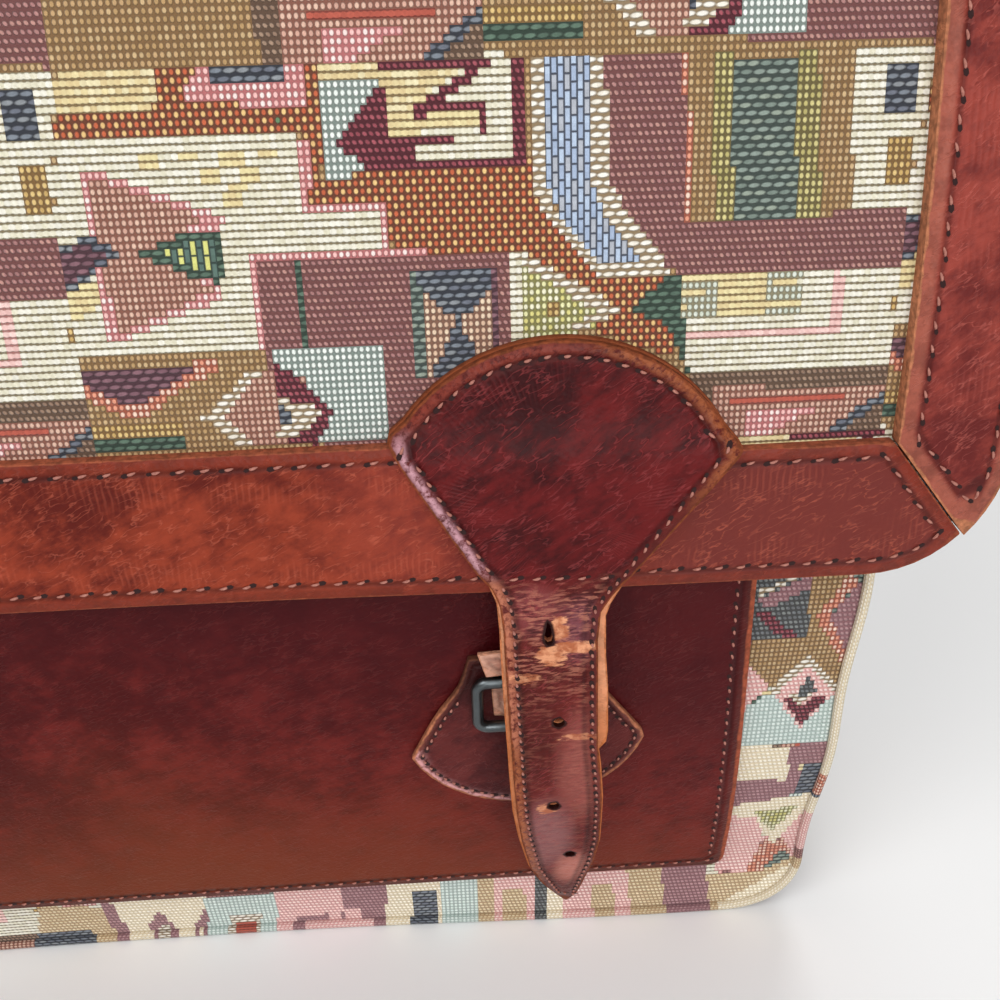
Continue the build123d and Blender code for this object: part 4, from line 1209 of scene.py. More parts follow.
def leatherSheet(name, outline, thickness, place, spacing, bevelWidth=0.0007, holes=()):
    # place(x, t, depth): depth 0 is the outer face
    mesh = bpy.data.meshes.new(name)
    obj = newObject(name, mesh)
    shape = bmesh.new()
    shape.faces.new([shape.verts.new((px, 0, pz)) for px, pz in outline])
    xs, zs = [p[0] for p in outline], [p[1] for p in outline]
    for axis, low, high in ((0, min(xs), max(xs)), (2, min(zs), max(zs))):
        count = max(1, round((high - low) / spacing))
        for k in range(1, count):
            middle, normal = [0, 0, 0], [0, 0, 0]
            middle[axis], normal[axis] = low + (high - low) * k / count, 1
            bmesh.ops.bisect_plane(shape, geom=shape.verts[:] + shape.edges[:] + shape.faces[:],
                                   plane_co=middle,
                                   plane_no=normal, dist=1e-7)
    bmesh.ops.recalc_face_normals(shape, faces=shape.faces)
    shape.normal_update()
    if sum(face.normal.y * face.calc_area() for face in shape.faces) > 0:
        bmesh.ops.reverse_faces(shape, faces=shape.faces)
    shape.to_mesh(mesh)
    shape.free()
    pickOnly(obj)
    thicken(obj, thickness)
    for hole in holes:
        cutMesh = bpy.data.meshes.new("cut")
        cutter = newObject("cut", cutMesh)
        tool = bmesh.new()
        base = tool.faces.new([tool.verts.new((px, -cutReach, pz)) for px, pz in hole])
        grown = bmesh.ops.extrude_face_region(tool, geom=[base])["geom"]
        bmesh.ops.translate(tool, vec=(0, 2 * cutReach + thickness, 0),
                            verts=[v for v in grown if isinstance(v, bmesh.types.BMVert)])
        bmesh.ops.recalc_face_normals(tool, faces=tool.faces)
        tool.to_mesh(cutMesh)
        tool.free()
        cut = obj.modifiers.new("cut", "BOOLEAN")
        cut.operation, cut.solver, cut.object = "DIFFERENCE", "EXACT", cutter
        bpy.ops.object.modifier_apply(modifier="cut")
        bpy.data.objects.remove(cutter)
    round_ = obj.modifiers.new("round", "BEVEL")
    round_.width, round_.segments, round_.use_clamp_overlap = bevelWidth, 2, True
    round_.limit_method, round_.angle_limit = "ANGLE", math.radians(50)
    bpy.ops.object.modifier_apply(modifier="round")
    flat = np.array([v.co for v in mesh.vertices])
    spots = flat[:, (0, 2)]
    for label, values in (("edgeDist", outlineDistance(spots, [outline])),
                          ("holeDist", outlineDistance(spots, holes)),
                          ("sideDist", max(xs) - np.abs(flat[:, 0]))):
        layer = mesh.attributes.new(label, "FLOAT", "POINT")
        layer.data.foreach_set("value", values.astype(np.float32))
    mesh.vertices.foreach_set("co", place(flat[:, 0], flat[:, 2], flat[:, 1]).astype(np.float32).ravel())
    mesh.update()
    return obj


def arcPoints(centre, radius, start, end, count):
    return [(centre[0] + radius * math.cos(math.radians(start + (end - start) * k / count)),
             centre[1] + radius * math.sin(math.radians(start + (end - start) * k / count)))
            for k in range(count + 1)]


# moves a counter-clockwise outline inwards, by one inset or one for each place
def insetOutline(outline, inset):
    ring = np.array(outline)
    moved = []
    for before, here, after in zip(np.roll(ring, 1, 0), ring, np.roll(ring, -1, 0)):
        first, second = here - before, after - here
        first, second = first / np.linalg.norm(first), second / np.linalg.norm(second)
        n1, n2 = np.array([-first[1], first[0]]), np.array([-second[1], second[0]])
        middle = n1 + n2
        middle /= max(np.linalg.norm(middle), 1e-9)
        reach = inset(*here) if callable(inset) else inset
        spot = here + middle * reach / max(middle @ n1, 0.45)
        if outlineDistance(spot[None], [list(outline)])[0] > 0.97 * reach:
            moved.append(tuple(spot))
    return moved


def counterClockwise(outline):
    area = sum(a[0] * b[1] - b[0] * a[1] for a, b in zip(outline, outline[1:] + outline[:1]))
    return outline if area > 0 else outline[::-1]


# Stitches: short slanted threads that dive into a needle hole
stitch = {"length": 0.40, "radius": 0.00032, "slant": 0.24, "hole": 0.00058, "sides": 6, "uneven": 0.14,
          "twist": 1500, "dark": (128, 66, 56), "light": (190, 132, 116), "roughness": 0.75,
          "holeAhead": 0.72, "holeLong": 1.35, "holeWide": 0.9, "holeLift": 0.00005,
          "profile": ((-0.54, 0.25, -0.3), (-0.3, 0.75, 0.25), (0.02, 1.05, 0.55), (0.3, 0.85, 0.3),
                      (0.5, 0.35, -0.6))}
threadMaterial, tree, surface = newMaterial("stitch_thread")
twistWave = noise(objectPlace(tree), stitch["twist"], 2)
plug(surface.inputs["Base Color"], tint(twistWave, linear(stitch["dark"]), linear(stitch["light"])))
plug(surface.inputs["Roughness"], stitch["roughness"])
# needle holes: dark discs of painted shade in the pits
holeShadeMaterial = plainMaterial("needle_hole_shade", linear((40, 15, 14)), 1.0)


def stitchRow(path, closed, pitch):  # (centre, direction, pitch) along a path
    ring = np.array(path + path[:1] if closed else path)
    steps = np.linalg.norm(np.diff(ring, axis=0), axis=1)
    ways = np.concatenate([[0], np.cumsum(steps)])
    made, spot = [], 0.0
    while spot < ways[-1]:
        k = int(np.clip(np.searchsorted(ways, spot, side="right") - 1, 0, len(steps) - 1))
        heading = (ring[k + 1] - ring[k]) / steps[k]
        centre = ring[k] + heading * (spot - ways[k])
        step = pitch(*centre) if callable(pitch) else pitch
        if spot + step * 0.9 > ways[-1]:
            break
        made.append((centre + heading * step * 0.5, heading, step))
        spot += step
    return made


def sewStitches(name, rowsMade, place, body):  # place(x, t, lift)
    verts, faces, marks = [], [], []
    sides = stitch["sides"]
    profile = stitch["profile"]  # along, thickness and height of each ring
    for centre, heading, step in rowsMade:
        slant = stitch["slant"] + (dice.random() - 0.5) * stitch["uneven"]
        along = np.array([heading[0] * math.cos(slant) - heading[1] * math.sin(slant),
                          heading[0] * math.sin(slant) + heading[1] * math.cos(slant)])
        across = np.array([-along[1], along[0]])
        length = step * stitch["length"] * (1 + (dice.random() - 0.5) * stitch["uneven"])
        first = len(verts)
        at = centre + along * stitch["holeAhead"] * length
        size = stitch["hole"] * (0.8 + 0.4 * dice.random())
        for k in range(sides):  # needle hole: a dark disc of painted shade
            turn = 2 * math.pi * k / sides
            spot = at + size * (stitch["holeLong"] * math.cos(turn) * along
                                + stitch["holeWide"] * math.sin(turn) * across)
            verts.append((spot[0], spot[1], stitch["holeLift"]))
        faces.append(tuple(range(first, first + sides)))
        marks.append(1)
        first = len(verts)
        for share, grow, rise in profile:
            for k in range(sides):
                turn = 2 * math.pi * k / sides
                spot = centre + along * share * length + across * math.cos(turn) * stitch["radius"] * grow
                verts.append((spot[0], spot[1], stitch["radius"] * (rise + math.sin(turn) * grow)))
        for ring in range(len(profile) - 1):
            for k in range(sides):
                a, b = first + ring * sides + k, first + ring * sides + (k + 1) % sides
                faces.append((a, b, b + sides, a + sides))
                marks.append(0)
        faces.append(tuple(range(first + sides - 1, first - 1, -1)))
        faces.append(tuple(range(first + 4 * sides, first + 5 * sides)))
        marks += [0, 0]
    flat = np.array(verts)
    mesh = bpy.data.meshes.new(name)
    mesh.from_pydata(place(flat[:, 0], flat[:, 1], flat[:, 2]).tolist(), [], faces)
    mesh.materials.append(threadMaterial)
    mesh.materials.append(holeShadeMaterial)
    mesh.polygons.foreach_set("material_index", marks)
    mesh.update()
    return finishPiece(newObject(name, mesh), None, body)


# Pocket on the front
pocket = {"width": 0.302, "low": 0.022, "high": 0.196, "corner": 0.004, "spacing": 0.006, "flare": 0.026,
          "flareTop": 0.135, "sideInset": 0.0043, "lowInset": 0.0027, "topInset": 0.0032, "rowCorner": 0.002,
          "pitch": 0.0036}
half = pocket["width"] / 2


def roundedBox(halfWidth, low, high, radius, count=4):
    spots = [(halfWidth - radius, low + radius, -90), (halfWidth - radius, high - radius, 0),
             (-halfWidth + radius, high - radius, 90), (-halfWidth + radius, low + radius, 180)]
    return [p for cx, cz, start in spots for p in arcPoints((cx, cz), radius, start, start + 90, count)]


def pocketPlace(x, t, depth):  # a little wider towards the bottom
    wider = 1 + pocket["flare"] * (1 - smooth(t, pocket["low"], pocket["flareTop"]))
    return onFront(x * wider, t, layers["pocket"][1] - depth)


pocketOutline = roundedBox(half, pocket["low"], pocket["high"], pocket["corner"])
pocketPiece = leatherSheet("pocket_leather", pocketOutline, thicknessOf("pocket"), pocketPlace,
                           pocket["spacing"])
finishLeather(pocketPiece, "pocket_leather", "bag", ["front_pocket"])
pocketRow = roundedBox(half - pocket["sideInset"], pocket["low"] + pocket["lowInset"],
                       pocket["high"] - pocket["topInset"],
                       pocket["rowCorner"])
sewStitches("pocket_stitches", stitchRow(pocketRow, True, pocket["pitch"]),
            lambda x, t, lift: pocketPlace(x, t, -lift), "bag")

# Leather edge along the mouth
binding = {"height": 0.012, "width": 0.349, "corner": 0.001, "spacing": 0.006, "bevel": 0.0004, "rowX": 0.171,
           "rowZ": 0.267, "pitch": 0.004}
bindingOutline = roundedBox(binding["width"] / 2, case["mouth"] - binding["height"], case["mouth"],
                            binding["corner"], 2)
bindingPiece = leatherSheet("mouth_leather", bindingOutline, thicknessOf("binding"),
                            lambda x, t, depth: onFront(x, t, layers["binding"][1] - depth),
                            binding["spacing"], binding["bevel"])
finishLeather(bindingPiece, "pocket_leather", "bag", ["mouth_binding"])
mouthRow = [(-binding["rowX"], binding["rowZ"]), (binding["rowX"], binding["rowZ"])]
sewStitches("mouth_stitches", stitchRow(mouthRow, False, binding["pitch"]),
            lambda x, t, lift: onFront(x, t, layers["binding"][1] + lift), "bag")
print("pocket done")

# Flap lining: thin leather under the tapestry
def roundEnd(top):  # the flap's outer corner at the hinge
    reach = flapCloth["endRound"]
    return arcPoints((flap["width"] / 2 - reach, top - reach), reach, 0, 90, 6)


flapLining = {"spacing": 0.006, "bevel": 0.0004}
liningRef = layers["flapLining"][0]
liningTop = leatherTop(liningRef)
cornerX, cornerZ = flap["width"] / 2 - flap["corner"], flap["edge"] + flap["corner"]
liningOutline = (roundEnd(liningTop) + [(-x, t) for x, t in reversed(roundEnd(liningTop))]
                 + arcPoints((-cornerX, cornerZ), flap["corner"], 180, 270, 10)
                 + arcPoints((cornerX, cornerZ), flap["corner"], 270, 360, 10))
liningPiece = leatherSheet("flap_lining_leather", liningOutline, thicknessOf("flapLining"),
                           lambda x, t, depth: onFlap(x, t, layers["flapLining"][1] - depth, liningRef),
                           flapLining["spacing"], flapLining["bevel"])
finishLeather(liningPiece, "lining_leather", "flap", ["flap_lining"])

# Flap border: a bottom strip and two side strips, mitred at the corners
borderRef = layers["border"][1]
borderTop = leatherTop(borderRef)
halfFlap = flap["width"] / 2
mitreInner = halfFlap - border["side"]


def cornerCut():  # round outer corner, cut where the mitre meets it
    centre = (halfFlap - flap["corner"], flap["edge"] + flap["corner"])
    outer, inner = Vector((halfFlap, flap["edge"])), Vector((mitreInner, mitreTop))
    mitre = (inner - outer).normalized()

    def away(k):
        turn = -math.radians(k / 10)
        spot = Vector((centre[0] + flap["corner"] * math.cos(turn),
                       centre[1] + flap["corner"] * math.sin(turn)))
        return abs((spot - outer).cross(mitre))

    return centre, min(range(900), key=away) / 10


def hung(outline):  # the lower edge hangs a little towards the corners
    def drop(x, t):
        low = 1 - smooth(t, flap["edge"], flap["edge"] + border["droopHigh"])
        return border["droop"] * float(smooth(abs(x), border["droopFrom"], border["droopTo"]) * low)

    return [(x, t - drop(x, t)) for x, t in outline]


cornerCentre, cutAngle = cornerCut()
gap = border["mitreGap"]
bottomRight = ([(x, flap["edge"]) for x in border["edgeX"]]
               + [(x - gap, t) for x, t in arcPoints(cornerCentre, flap["corner"], -90, -cutAngle, 6)]
               + [(mitreInner - gap, mitreTop - border["narrow"]),
                  (border["narrowX"], mitreTop - border["narrow"]),
                  (border["widenX"], mitreTop + border["widen"])])
bottomOutline = counterClockwise(hung(bottomRight + [(-x, t) for x, t in reversed(bottomRight)]))
sideArc = arcPoints(cornerCentre, flap["corner"], -cutAngle, 0, 6)
sideInner = [(mitreInner, borderTop), (mitreInner, mitreTop - border["narrow"])]
sideOutline = counterClockwise(hung(sideArc + roundEnd(borderTop) + sideInner))


def borderInset(x, t):
    return border["upperInset"] if t > flap["edge"] + border["lowerUpTo"] else border["lowerInset"]


def borderPlace(x, t, depth):
    return onFlap(x, t, layers["border"][1] - depth, borderRef)


def sidePlace(x, t, depth):
    return onFlap(x, t, layers["border"][1] + border["proud"] - depth, borderRef)


thickness = thicknessOf("border")
bottomStrip = leatherSheet("flap_bottom_leather", bottomOutline, thickness, borderPlace, border["spacing"])
finishLeather(bottomStrip, "border_leather", "flap", ["flap_border_bottom"])
sewStitches("flap_bottom_stitches", stitchRow(insetOutline(bottomOutline, borderInset), True,
                                              border["pitch"]),
            lambda x, t, lift: borderPlace(x, t, -lift), "flap")
for label, sign in (("right", 1), ("left", -1)):
    outline = counterClockwise([(sign * x, t) for x, t in sideOutline])
    strip = leatherSheet("flap_" + label + "_leather", outline, thickness + border["proud"], sidePlace,
                         border["spacing"])
    finishLeather(strip, "side_leather", "flap", ["flap_border_" + label])
    sewStitches("flap_" + label + "_stitches",
                stitchRow(insetOutline(outline, border["sideInset"]), True, border["sidePitch"]),
                lambda x, t, lift: sidePlace(x, t, -lift), "flap")
print("flap leather done")

# Straps: a fan head on the flap, a worn run and a pointed end, each an upper ply on a wider tan ply
def strapPlace(x, t, depth):  # depth from the upper face
    lift = 2 * strap["ply"] - depth
    head = frontY(headLift(t) + lift, t)
    tail = arcY - np.sqrt(np.maximum((arcRadius + lift) ** 2 - (t - arcZ) ** 2, 1e-9))
    share = smooth(t, flap["edge"] - strap["leaveLow"], flap["edge"] + strap["leaveHigh"])
    return np.stack([x, tail + (head - tail) * share, t], axis=-1)


# Outline on the photo's pixels: the fan, then the sides of the run from the neck down to the tip
fanPixels = {"left": [(477, 575), (392, 455), (388.5, 447), (390, 437)],
             "arc": [(404, 424), (574, 341), (726.6, 428)],
             "right": [(740, 444), (743.5, 451), (739, 459), (637, 571)]}
upperRun = {"left": [(492, 590), (500, 608), (504, 636), (505, 659), (507, 689), (509, 720), (512, 755),
                     (514, 785), (517, 815), (522, 842), (531, 869), (541, 882), (555, 893)],
            "tip": (566, 900),
            "right": [(628, 580), (612, 597), (601, 613), (598, 640), (598, 702), (598, 744), (600, 767),
                      (602, 800), (599, 842), (592, 864), (585, 877), (576, 893)]}
underRun = {"left": [(489, 590), (497, 608), (500, 636), (501, 659), (503, 689), (505, 720), (508, 755),
                     (510, 785), (513, 815), (519, 842), (529, 870), (540, 884), (555, 895)],
            "tip": (567, 902),
            "right": [(633, 576), (622, 592), (612, 608), (607, 620), (607, 659), (609, 689), (609, 735),
                      (607, 746), (600, 753), (602, 767), (604, 800), (601, 843), (594, 866), (587, 879),
                      (577, 895)]}


def fanArc(spots, count, grow=0.0):  # round through three spots
    cx, cz, radius = circleThrough(*spots)
    first, last = (math.degrees(math.atan2(pz - cz, px - cx)) for px, pz in (spots[0], spots[2]))
    return cx, cz, radius, arcPoints((cx, cz), radius + grow, first, last, count)


def strapOutline(run, grow):
    cx, cz, radius, arc = fanArc([strapSpot(*pixel) for pixel in fanPixels["arc"]], 26, grow)
    wider = 1 + grow / radius
    left, right = ([(cx + (px - cx) * wider, cz + (pz - cz) * wider)
                    for px, pz in map(lambda p: strapSpot(*p), side)]
                   for side in (fanPixels["left"], fanPixels["right"]))
    down = [strapSpot(*pixel) for pixel in run["right"] + [run["tip"]] + run["left"][::-1]]
    ring = left + arc + right + down
    return counterClockwise([(px - strap["x"], pz) for px, pz in ring])


def ringHole(centre, radius, count=14):
    return [(centre[0] + radius * math.cos(2 * math.pi * k / count),
             centre[1] + radius * math.sin(2 * math.pi * k / count))
            for k in range(count)]


holePixels = [(559, 723), (554, 806), (570, 854)]
tornPixels = [(547.5, 622), (550.5, 626), (552, 634), (553.5, 640), (552, 645), (548.5, 646), (545, 643),
              (544.5, 636), (546, 629)]
holeSpots = [(px - strap["x"], pz) for px, pz in (strapSpot(*pixel) for pixel in holePixels)]
tornHole = [(px - strap["x"], pz) for px, pz in (strapSpot(*pixel) for pixel in tornPixels)]
upperOutline, underOutline = strapOutline(upperRun, 0), strapOutline(underRun, strap["underGrow"])
holes = [tornHole] + [ringHole(spot, strap["hole"]) for spot in holeSpots]


def sewInset(side):
    def inset(x, t):
        run = strap["leftInset"] if x * side < 0 else strap["rightInset"]
        onHead = smooth(t, flap["edge"] + strap["insetLow"], flap["edge"] + strap["insetHigh"])
        return run + (strap["headInset"] - run) * float(onHead)
    return inset


for label, sign in (("right", 1), ("left", -1)):
    def ownSide(x, t, depth, side=sign):
        return strapPlace(x + side * strap["x"], t, depth)

    def flip(outline, side=sign):
        return counterClockwise([(side * px, pz) for px, pz in outline])

    upper = leatherSheet(label + "_strap_leather", flip(upperOutline), strap["ply"], ownSide,
                         strap["spacing"], strap["bevel"],
                         [flip(h) for h in holes])
    finishLeather(upper, "strap_leather", "flap", [label + "_strap"])
    under = leatherSheet(label + "_strap_under", flip(underOutline), strap["ply"],
                         lambda x, t, depth: ownSide(x, t, depth + strap["ply"]), strap["spacing"],
                         strap["underBevel"],
                         [flip(tornHole)] + [flip(ringHole(spot, strap["hole"] * strap["underHole"]))
                                             for spot in holeSpots])
    finishLeather(under, "under_leather", "flap", ())
    sewn = stitchRow(insetOutline(flip(upperOutline), sewInset(sign)), True,
                     lambda x, t: strap["headPitch"] if t > flap["edge"] + strap["runBelow"]
                     else strap["runPitch"])
    sewn += stitchRow([(-strap["rowX"], flap["edge"] + strap["rowLeft"]),
                       (strap["rowX"], flap["edge"] + strap["rowRight"])], False, strap["rowPitch"])
    sewStitches(label + "_strap_stitches", sewn, lambda x, t, lift: ownSide(x, t, -lift), "flap")
print("straps done")

# Buckle tabs: a fan of leather on the pocket, folded round the buckle's bar
tab = {"x": 0.10093, "barZ": 0.104, "barY": -0.06512, "loopLeft": -0.0068, "loopRight": 0.0105,
       "loopRadius": 0.0033, "loopWall": 0.0015, "loopEdge": 0.004, "slot": 0.0046, "slotX": 0.005,
       "stitchInset": 0.0021, "pitch": 0.0027, "sewnUpTo": 0.098, "spacing": 0.004, "bevel": 0.0005,
       "plateBevel": 0.0003, "foldLift": 0.0034, "foldThick": 0.0012, "tongueLift": 0.0007,
       "tongueThick": 0.0005}
tabPixels = {"left": [(468, 660), (464, 674), (458, 689), (450, 700), (440, 712), (430, 727), (421, 743)],
             "arc": [(412, 759), (487, 799), (644, 736)], "right": [(642, 730), (609, 695), (560, 650)]}
foldPixels = [(477, 655), (486, 678), (520, 674), (520, 651)]  # end of the fold, above the bar
tonguePixels = [(491, 686), (494, 716), (520, 716), (520, 686)]  # inside the ring


def tabSpots(pixels, lift=0.0):
    return [(px - tab["x"], pz) for px, pz in (fromPhoto(*pixel, layers["tab"][1] + lift)
                                               for pixel in pixels)]


tabOutline = (tabSpots(tabPixels["left"]) + fanArc(tabSpots(tabPixels["arc"]), 18)[3]
              + tabSpots(tabPixels["right"]))


def bentWire(name, path, radius, closed):
    curve = bpy.data.curves.new(name, "CURVE")
    curve.dimensions, curve.bevel_depth, curve.bevel_resolution, curve.use_fill_caps = "3D", radius, 3, True
    line = curve.splines.new("POLY")
    line.points.add(len(path) - 1)
    for point, spot in zip(line.points, path):
        point.co = (*spot, 1)
    line.use_cyclic_u = closed
    if not closed:
        line.points[-1].radius = 0.6
    pickOnly(newObject(name, curve))
    bpy.ops.object.convert(target="MESH")
    return bpy.context.object


metal = {"patch": 260, "dark": (58, 62, 64), "light": (118, 124, 126), "roughness": (0.2, 0.3),
         "bump": 0.0003}
pewter, tree, surface = newMaterial("buckle_metal")
worn = noise(objectPlace(tree), metal["patch"], 4)
plug(surface.inputs["Base Color"], tint(worn, linear(metal["dark"]), linear(metal["light"])))
plug(surface.inputs["Metallic"], 1.0)
plug(surface.inputs["Roughness"], plus(metal["roughness"][0], times(worn, metal["roughness"][1])))
bump(surface, worn, 0.3, metal["bump"])
buckle = {"width": 0.026, "height": 0.0136, "round": 0.0024, "wire": 0.0014, "prongX": 0.10593,
          "prongLift": 0.0028, "prongWire": 0.0011, "prongReach": 0.0172}
outward = Vector((0, tab["barY"] - frontCentre, tab["barZ"] - crown)).normalized()
upward = Vector((0, outward.z, -outward.y))

for label, sign in (("right", 1), ("left", -1)):
    def tabPlace(x, t, depth, side=sign):
        return onFront(x + side * tab["x"], t, layers["tab"][1] - depth)

    outline = counterClockwise([(sign * px, pz) for px, pz in tabOutline])
    piece = leatherSheet(label + "_tab_leather", outline, thicknessOf("tab"), tabPlace, tab["spacing"],
                         tab["bevel"])
    piece.data.materials.append(leathers["tab_leather"])
    loops = []
    slotLow, slotHigh = sign * tab["slotX"] - tab["slot"] / 2, sign * tab["slotX"] + tab["slot"] / 2
    left, right = sorted((sign * tab["loopLeft"], sign * tab["loopRight"]))
    for low, high in ((left, slotLow), (slotHigh, right)):
        bpy.ops.object.select_all(action="DESELECT")
        bpy.ops.mesh.primitive_cylinder_add(vertices=20, radius=tab["loopRadius"], depth=high - low,
                                            end_fill_type="NOTHING", rotation=(0, math.pi / 2, 0),
                                            location=(sign * tab["x"] + (low + high) / 2, tab["barY"],
                                                      tab["barZ"]))
        bpy.ops.object.transform_apply(location=True, rotation=True, scale=True)
        loop = bpy.context.object
        thicken(loop, tab["loopWall"])
        layer = loop.data.attributes.new("edgeDist", "FLOAT", "POINT")
        layer.data.foreach_set("value", np.full(len(loop.data.vertices), tab["loopEdge"], np.float32))
        loop.data.materials.append(leathers["loop_leather"])
        loops.append(loop)
    for pixels, lift, thick in ((foldPixels, tab["foldLift"], tab["foldThick"]),
                                (tonguePixels, tab["tongueLift"], tab["tongueThick"])):
        corners = counterClockwise([(sign * px, pz) for px, pz in tabSpots(pixels, lift)])
        plate = leatherSheet(label + "_plate", corners, thick,
                             lambda x, t, depth: tabPlace(x, t, depth - lift),
                             tab["spacing"], tab["plateBevel"])
        plate.data.materials.append(leathers["loop_leather"])
        loops.append(plate)
    pickOnly(piece)
    for loop in loops:
        loop.select_set(True)
    bpy.ops.object.join()
    finishPiece(piece, None, "bag", [label + "_buckle_tab"], leatherCrease)
    sewn = [made for made in stitchRow(insetOutline(outline, tab["stitchInset"]), True, tab["pitch"])
            if made[0][1] < tab["sewnUpTo"]]
    sewStitches(label + "_tab_stitches", sewn, lambda x, t, lift: tabPlace(x, t, -lift), "bag")
    middle = Vector((sign * tab["x"], tab["barY"], tab["barZ"]))
    ring = [middle + Vector((across, 0, 0)) + upward * rise
            for across, rise in roundedBox(buckle["width"] / 2, -buckle["height"], 0, buckle["round"], 6)]
    finishPiece(bentWire(label + "_frame_wire", ring, buckle["wire"], True), pewter, label + "_buckle",
                [label + "_buckle_frame"])
    middle = Vector((sign * buckle["prongX"], tab["barY"], tab["barZ"]))
    curl = arcPoints((0, 0), buckle["prongLift"], 290, 0, 18)
    shaft = [(buckle["prongLift"], -buckle["prongReach"] * share) for share in (0.5, 0.85, 1)]
    finishPiece(bentWire(label + "_prong_wire",
                         [middle + outward * out + upward * rise for out, rise in curl + shaft],
                         buckle["prongWire"], False), pewter, label + "_prong", [label + "_buckle_prong"])
print("tabs done")

# Handle on top of the flap
handle = {"y": 0.00519, "width": 0.024, "thick": 0.006, "span": 0.132, "foot": 0.034, "rise": 0.040,
          "run": 0.026, "bend": 0.020, "footZ": 0.2967, "bendShare": 0.75, "bendSteps": 8, "corner": 0.008,
          "spacing": 0.004, "bevel": 0.0016, "stitchInset": 0.003, "pitch": 0.0042, "look": 0.001}


def handlePath():
    halfSpan, low, high = handle["span"] / 2, handle["footZ"], handle["footZ"] + handle["rise"]
    corners = [(-halfSpan - handle["foot"], low), (-halfSpan, low), (-halfSpan + handle["run"], high),
               (halfSpan - handle["run"], high), (halfSpan, low), (halfSpan + handle["foot"], low)]
    path = [corners[0]]
    for before, here, after in zip(corners, corners[1:], corners[2:]):
        a, b, c = Vector(before), Vector(here), Vector(after)
        inward, onward = (a - b).normalized(), (c - b).normalized()
        reach = handle["bend"] * handle["bendShare"]
        first, last = b + inward * reach, b + onward * reach
        shares = [k / handle["bendSteps"] for k in range(handle["bendSteps"] + 1)]
        path += [tuple(first * (1 - s) ** 2 + b * 2 * s * (1 - s) + last * s * s) for s in shares]
    path.append(corners[-1])
    return np.array(path)


path = handlePath()
steps = np.linalg.norm(np.diff(path, axis=0), axis=1)
ways = np.concatenate([[0], np.cumsum(steps)])


def handlePoint(s):
    px, pz = np.interp(s, ways, path[:, 0]), np.interp(s, ways, path[:, 1])
    ahead = np.stack([np.interp(s + handle["look"], ways, line) - np.interp(s - handle["look"], ways, line)
                      for line in path.T], axis=-1)
    ahead /= np.linalg.norm(ahead, axis=1)[:, None]
    return px, pz, ahead


def handlePlace(x, t, depth):  # x across the handle, t along it, depth from the upper face
    px, pz, ahead = handlePoint(t)
    lift = handle["thick"] / 2 - depth
    return np.stack([px - ahead[:, 1] * lift, handle["y"] + x, pz + ahead[:, 0] * lift], axis=-1)


handleOutline = roundedBox(handle["width"] / 2, 0, ways[-1], handle["corner"], 6)
handlePiece = leatherSheet("handle_leather", handleOutline, handle["thick"], handlePlace, handle["spacing"],
                           handle["bevel"])
bpy.ops.object.mode_set(mode="EDIT")
bpy.ops.mesh.select_all(action="SELECT")
bpy.ops.mesh.normals_make_consistent(inside=False)
bpy.ops.object.mode_set(mode="OBJECT")
finishLeather(handlePiece, "strap_leather", "flap", ["handle"])
sewStitches("handle_stitches", stitchRow(insetOutline(handleOutline, handle["stitchInset"]), True,
                                         handle["pitch"]),
            lambda x, t, lift: handlePlace(x, t, -lift), "flap")

# Lining cloth inside the case
liningLook = {"inset": 0.0031, "low": 0.0054, "short": 0.0006, "thick": 0.0007, "pucker": 0.0006,
              "wide": 0.0988, "sideShare": 0.99, "roundShare": 0.87, "colour": (120, 92, 66),
              "light": (146, 116, 86), "thread": (1800, 300, 1800), "bump": 0.0002, "roughness": 0.9}
liningHigh = case["mouth"] - liningLook["short"] - liningLook["low"]
liningWide = case["width"] - 2 * liningLook["inset"]
liningCloth, tree, surface = newMaterial("lining_cloth")
threadNoise = noise(objectPlace(tree, liningLook["thread"]), 1.0, 2)
plug(surface.inputs["Base Color"], tint(threadNoise, linear(liningLook["colour"]),
                                        linear(liningLook["light"])))
plug(surface.inputs["Roughness"], liningLook["roughness"])
bump(surface, threadNoise, 0.3, liningLook["bump"])


def liningSide(front):
    def place(u, v):
        z = liningLook["low"] + v * liningHigh
        x = (u - 0.5) * liningWide
        away = np.clip((case["corner"] - z) / case["corner"], 0, 1)
        x = x * (1 - 0.5 * (1 - np.sqrt(1 - away ** 2)) * case["corner"] * 2 / case["width"] * 2)
        pucker = liningLook["pucker"] * np.sin(x * 95 + z * 30) * np.sin(z * 70)
        y = frontY(-liningLook["inset"], z) + pucker if front else backY(-liningLook["inset"], z) - pucker
        return slumped(np.stack([-x if front else x, y, z], axis=-1))
    return place


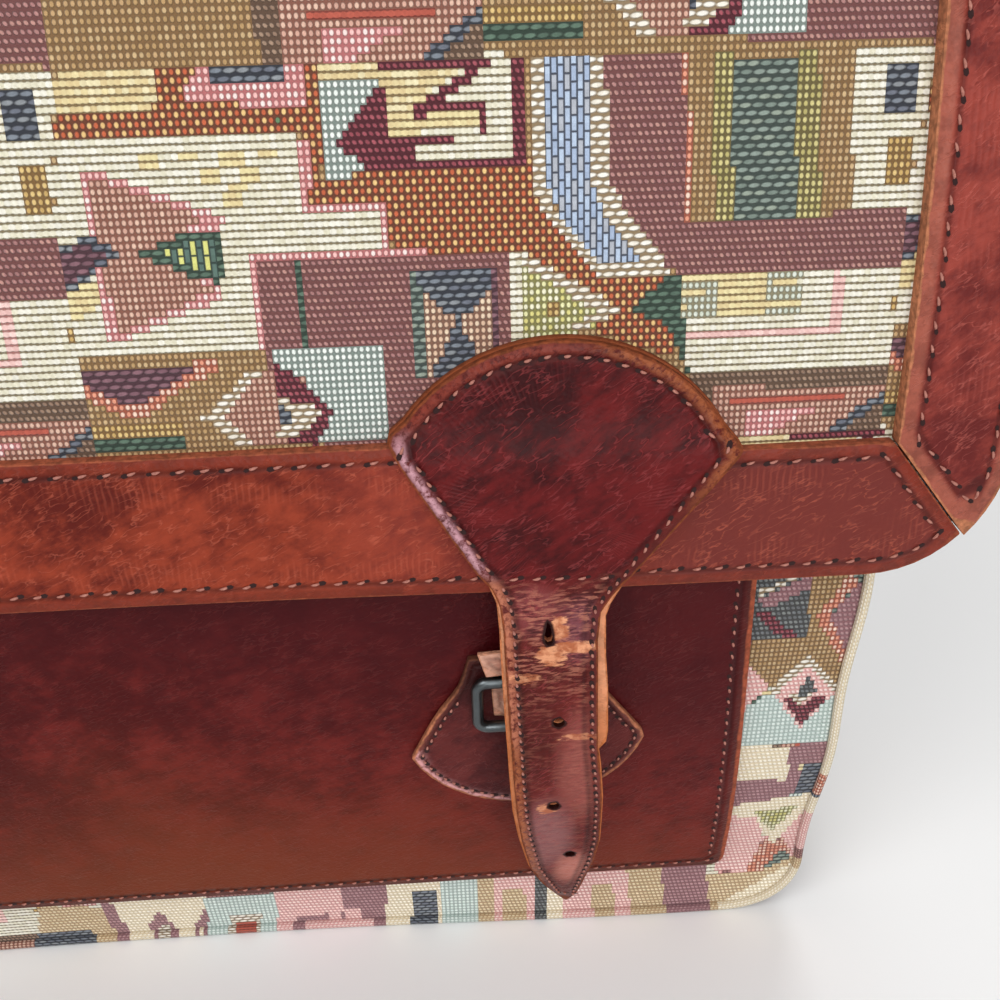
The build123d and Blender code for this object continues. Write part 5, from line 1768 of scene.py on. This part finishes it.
def liningRound(u, v):
    s = u * seamLength
    x, z = seamPoint(s, liningLook["inset"])
    x = x - np.sign(x) * sideDip(s, v)  # follows the gusset
    z = np.maximum(z, liningLook["low"])
    z = np.minimum(z, case["mouth"] - liningLook["short"])
    front, back = frontY(-liningLook["inset"], z), backY(-liningLook["inset"], z)
    return slumped(np.stack([x, front + v * (back - front), z], axis=-1))


for label, place, columns, rows, flat in (("front", liningSide(True), 60, 50, (liningWide, liningHigh)),
                                          ("back", liningSide(False), 60, 50, (liningWide, liningHigh)),
                                          ("round", liningRound, 150, 14, (seamLength, liningLook["wide"]))):
    sheet = gridSheet(label + "_lining_cloth", columns, rows, place)[0]
    thicken(sheet, liningLook["thick"])
    finishPiece(sheet, liningCloth, "bag", ["lining"] if label == "front" else ())
print("lining done")

# Board in the bottom, kept from the frame
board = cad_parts["base_board"]
board.data.materials.clear()
board.data.materials.append(plainMaterial("board", linear((150, 130, 100)), 0.9))

# Floor, light and camera
bpy.ops.mesh.primitive_plane_add(size=6, location=(0, 0, -0.0002))
floor = bpy.context.object
floor.name = "floor"
floor.data.materials.append(plainMaterial("floor", (0.86, 0.86, 0.86), 0.9))

light = {"world": 0.34, "aim": (0.08, -0.05, 0.14),
         "lamps": [("key", (-0.45, -0.75, 1.05), 7, 0.6), ("fill", (0.35, -1.3, 0.62), 11, 0.9),
                   ("back", (0.25, 0.7, 1.0), 6, 0.7)]}
world = bpy.data.worlds.new("studio")
scene.world = world
world.use_nodes = True
background = world.node_tree.nodes["Background"].inputs
background["Color"].default_value = (1, 1, 1, 1)
background["Strength"].default_value = light["world"]
for name, spot, power, size in light["lamps"]:
    lamp = bpy.data.lights.new(name, "AREA")
    lamp.energy, lamp.size = power, size
    holder = newObject(name, lamp)
    holder.location = spot
    holder.rotation_euler = (Vector(light["aim"]) - Vector(spot)).to_track_quat("-Z", "Y").to_euler()

camera = newObject("camera", bpy.data.cameras.new("camera"))
camera.data.sensor_width = photoCamera["sensor"]
camera.data.lens = photoCamera["sensor"] * photoCamera["focal"] / photoCamera["size"]
camera.data.clip_start = photoCamera["nearest"]
turn = Matrix((cameraRight, cameraUp, -cameraForward)).transposed()
camera.matrix_world = Matrix.Translation(photoCamera["place"]) @ turn.to_4x4()
scene.camera = camera
scene.view_settings.view_transform = "Standard"
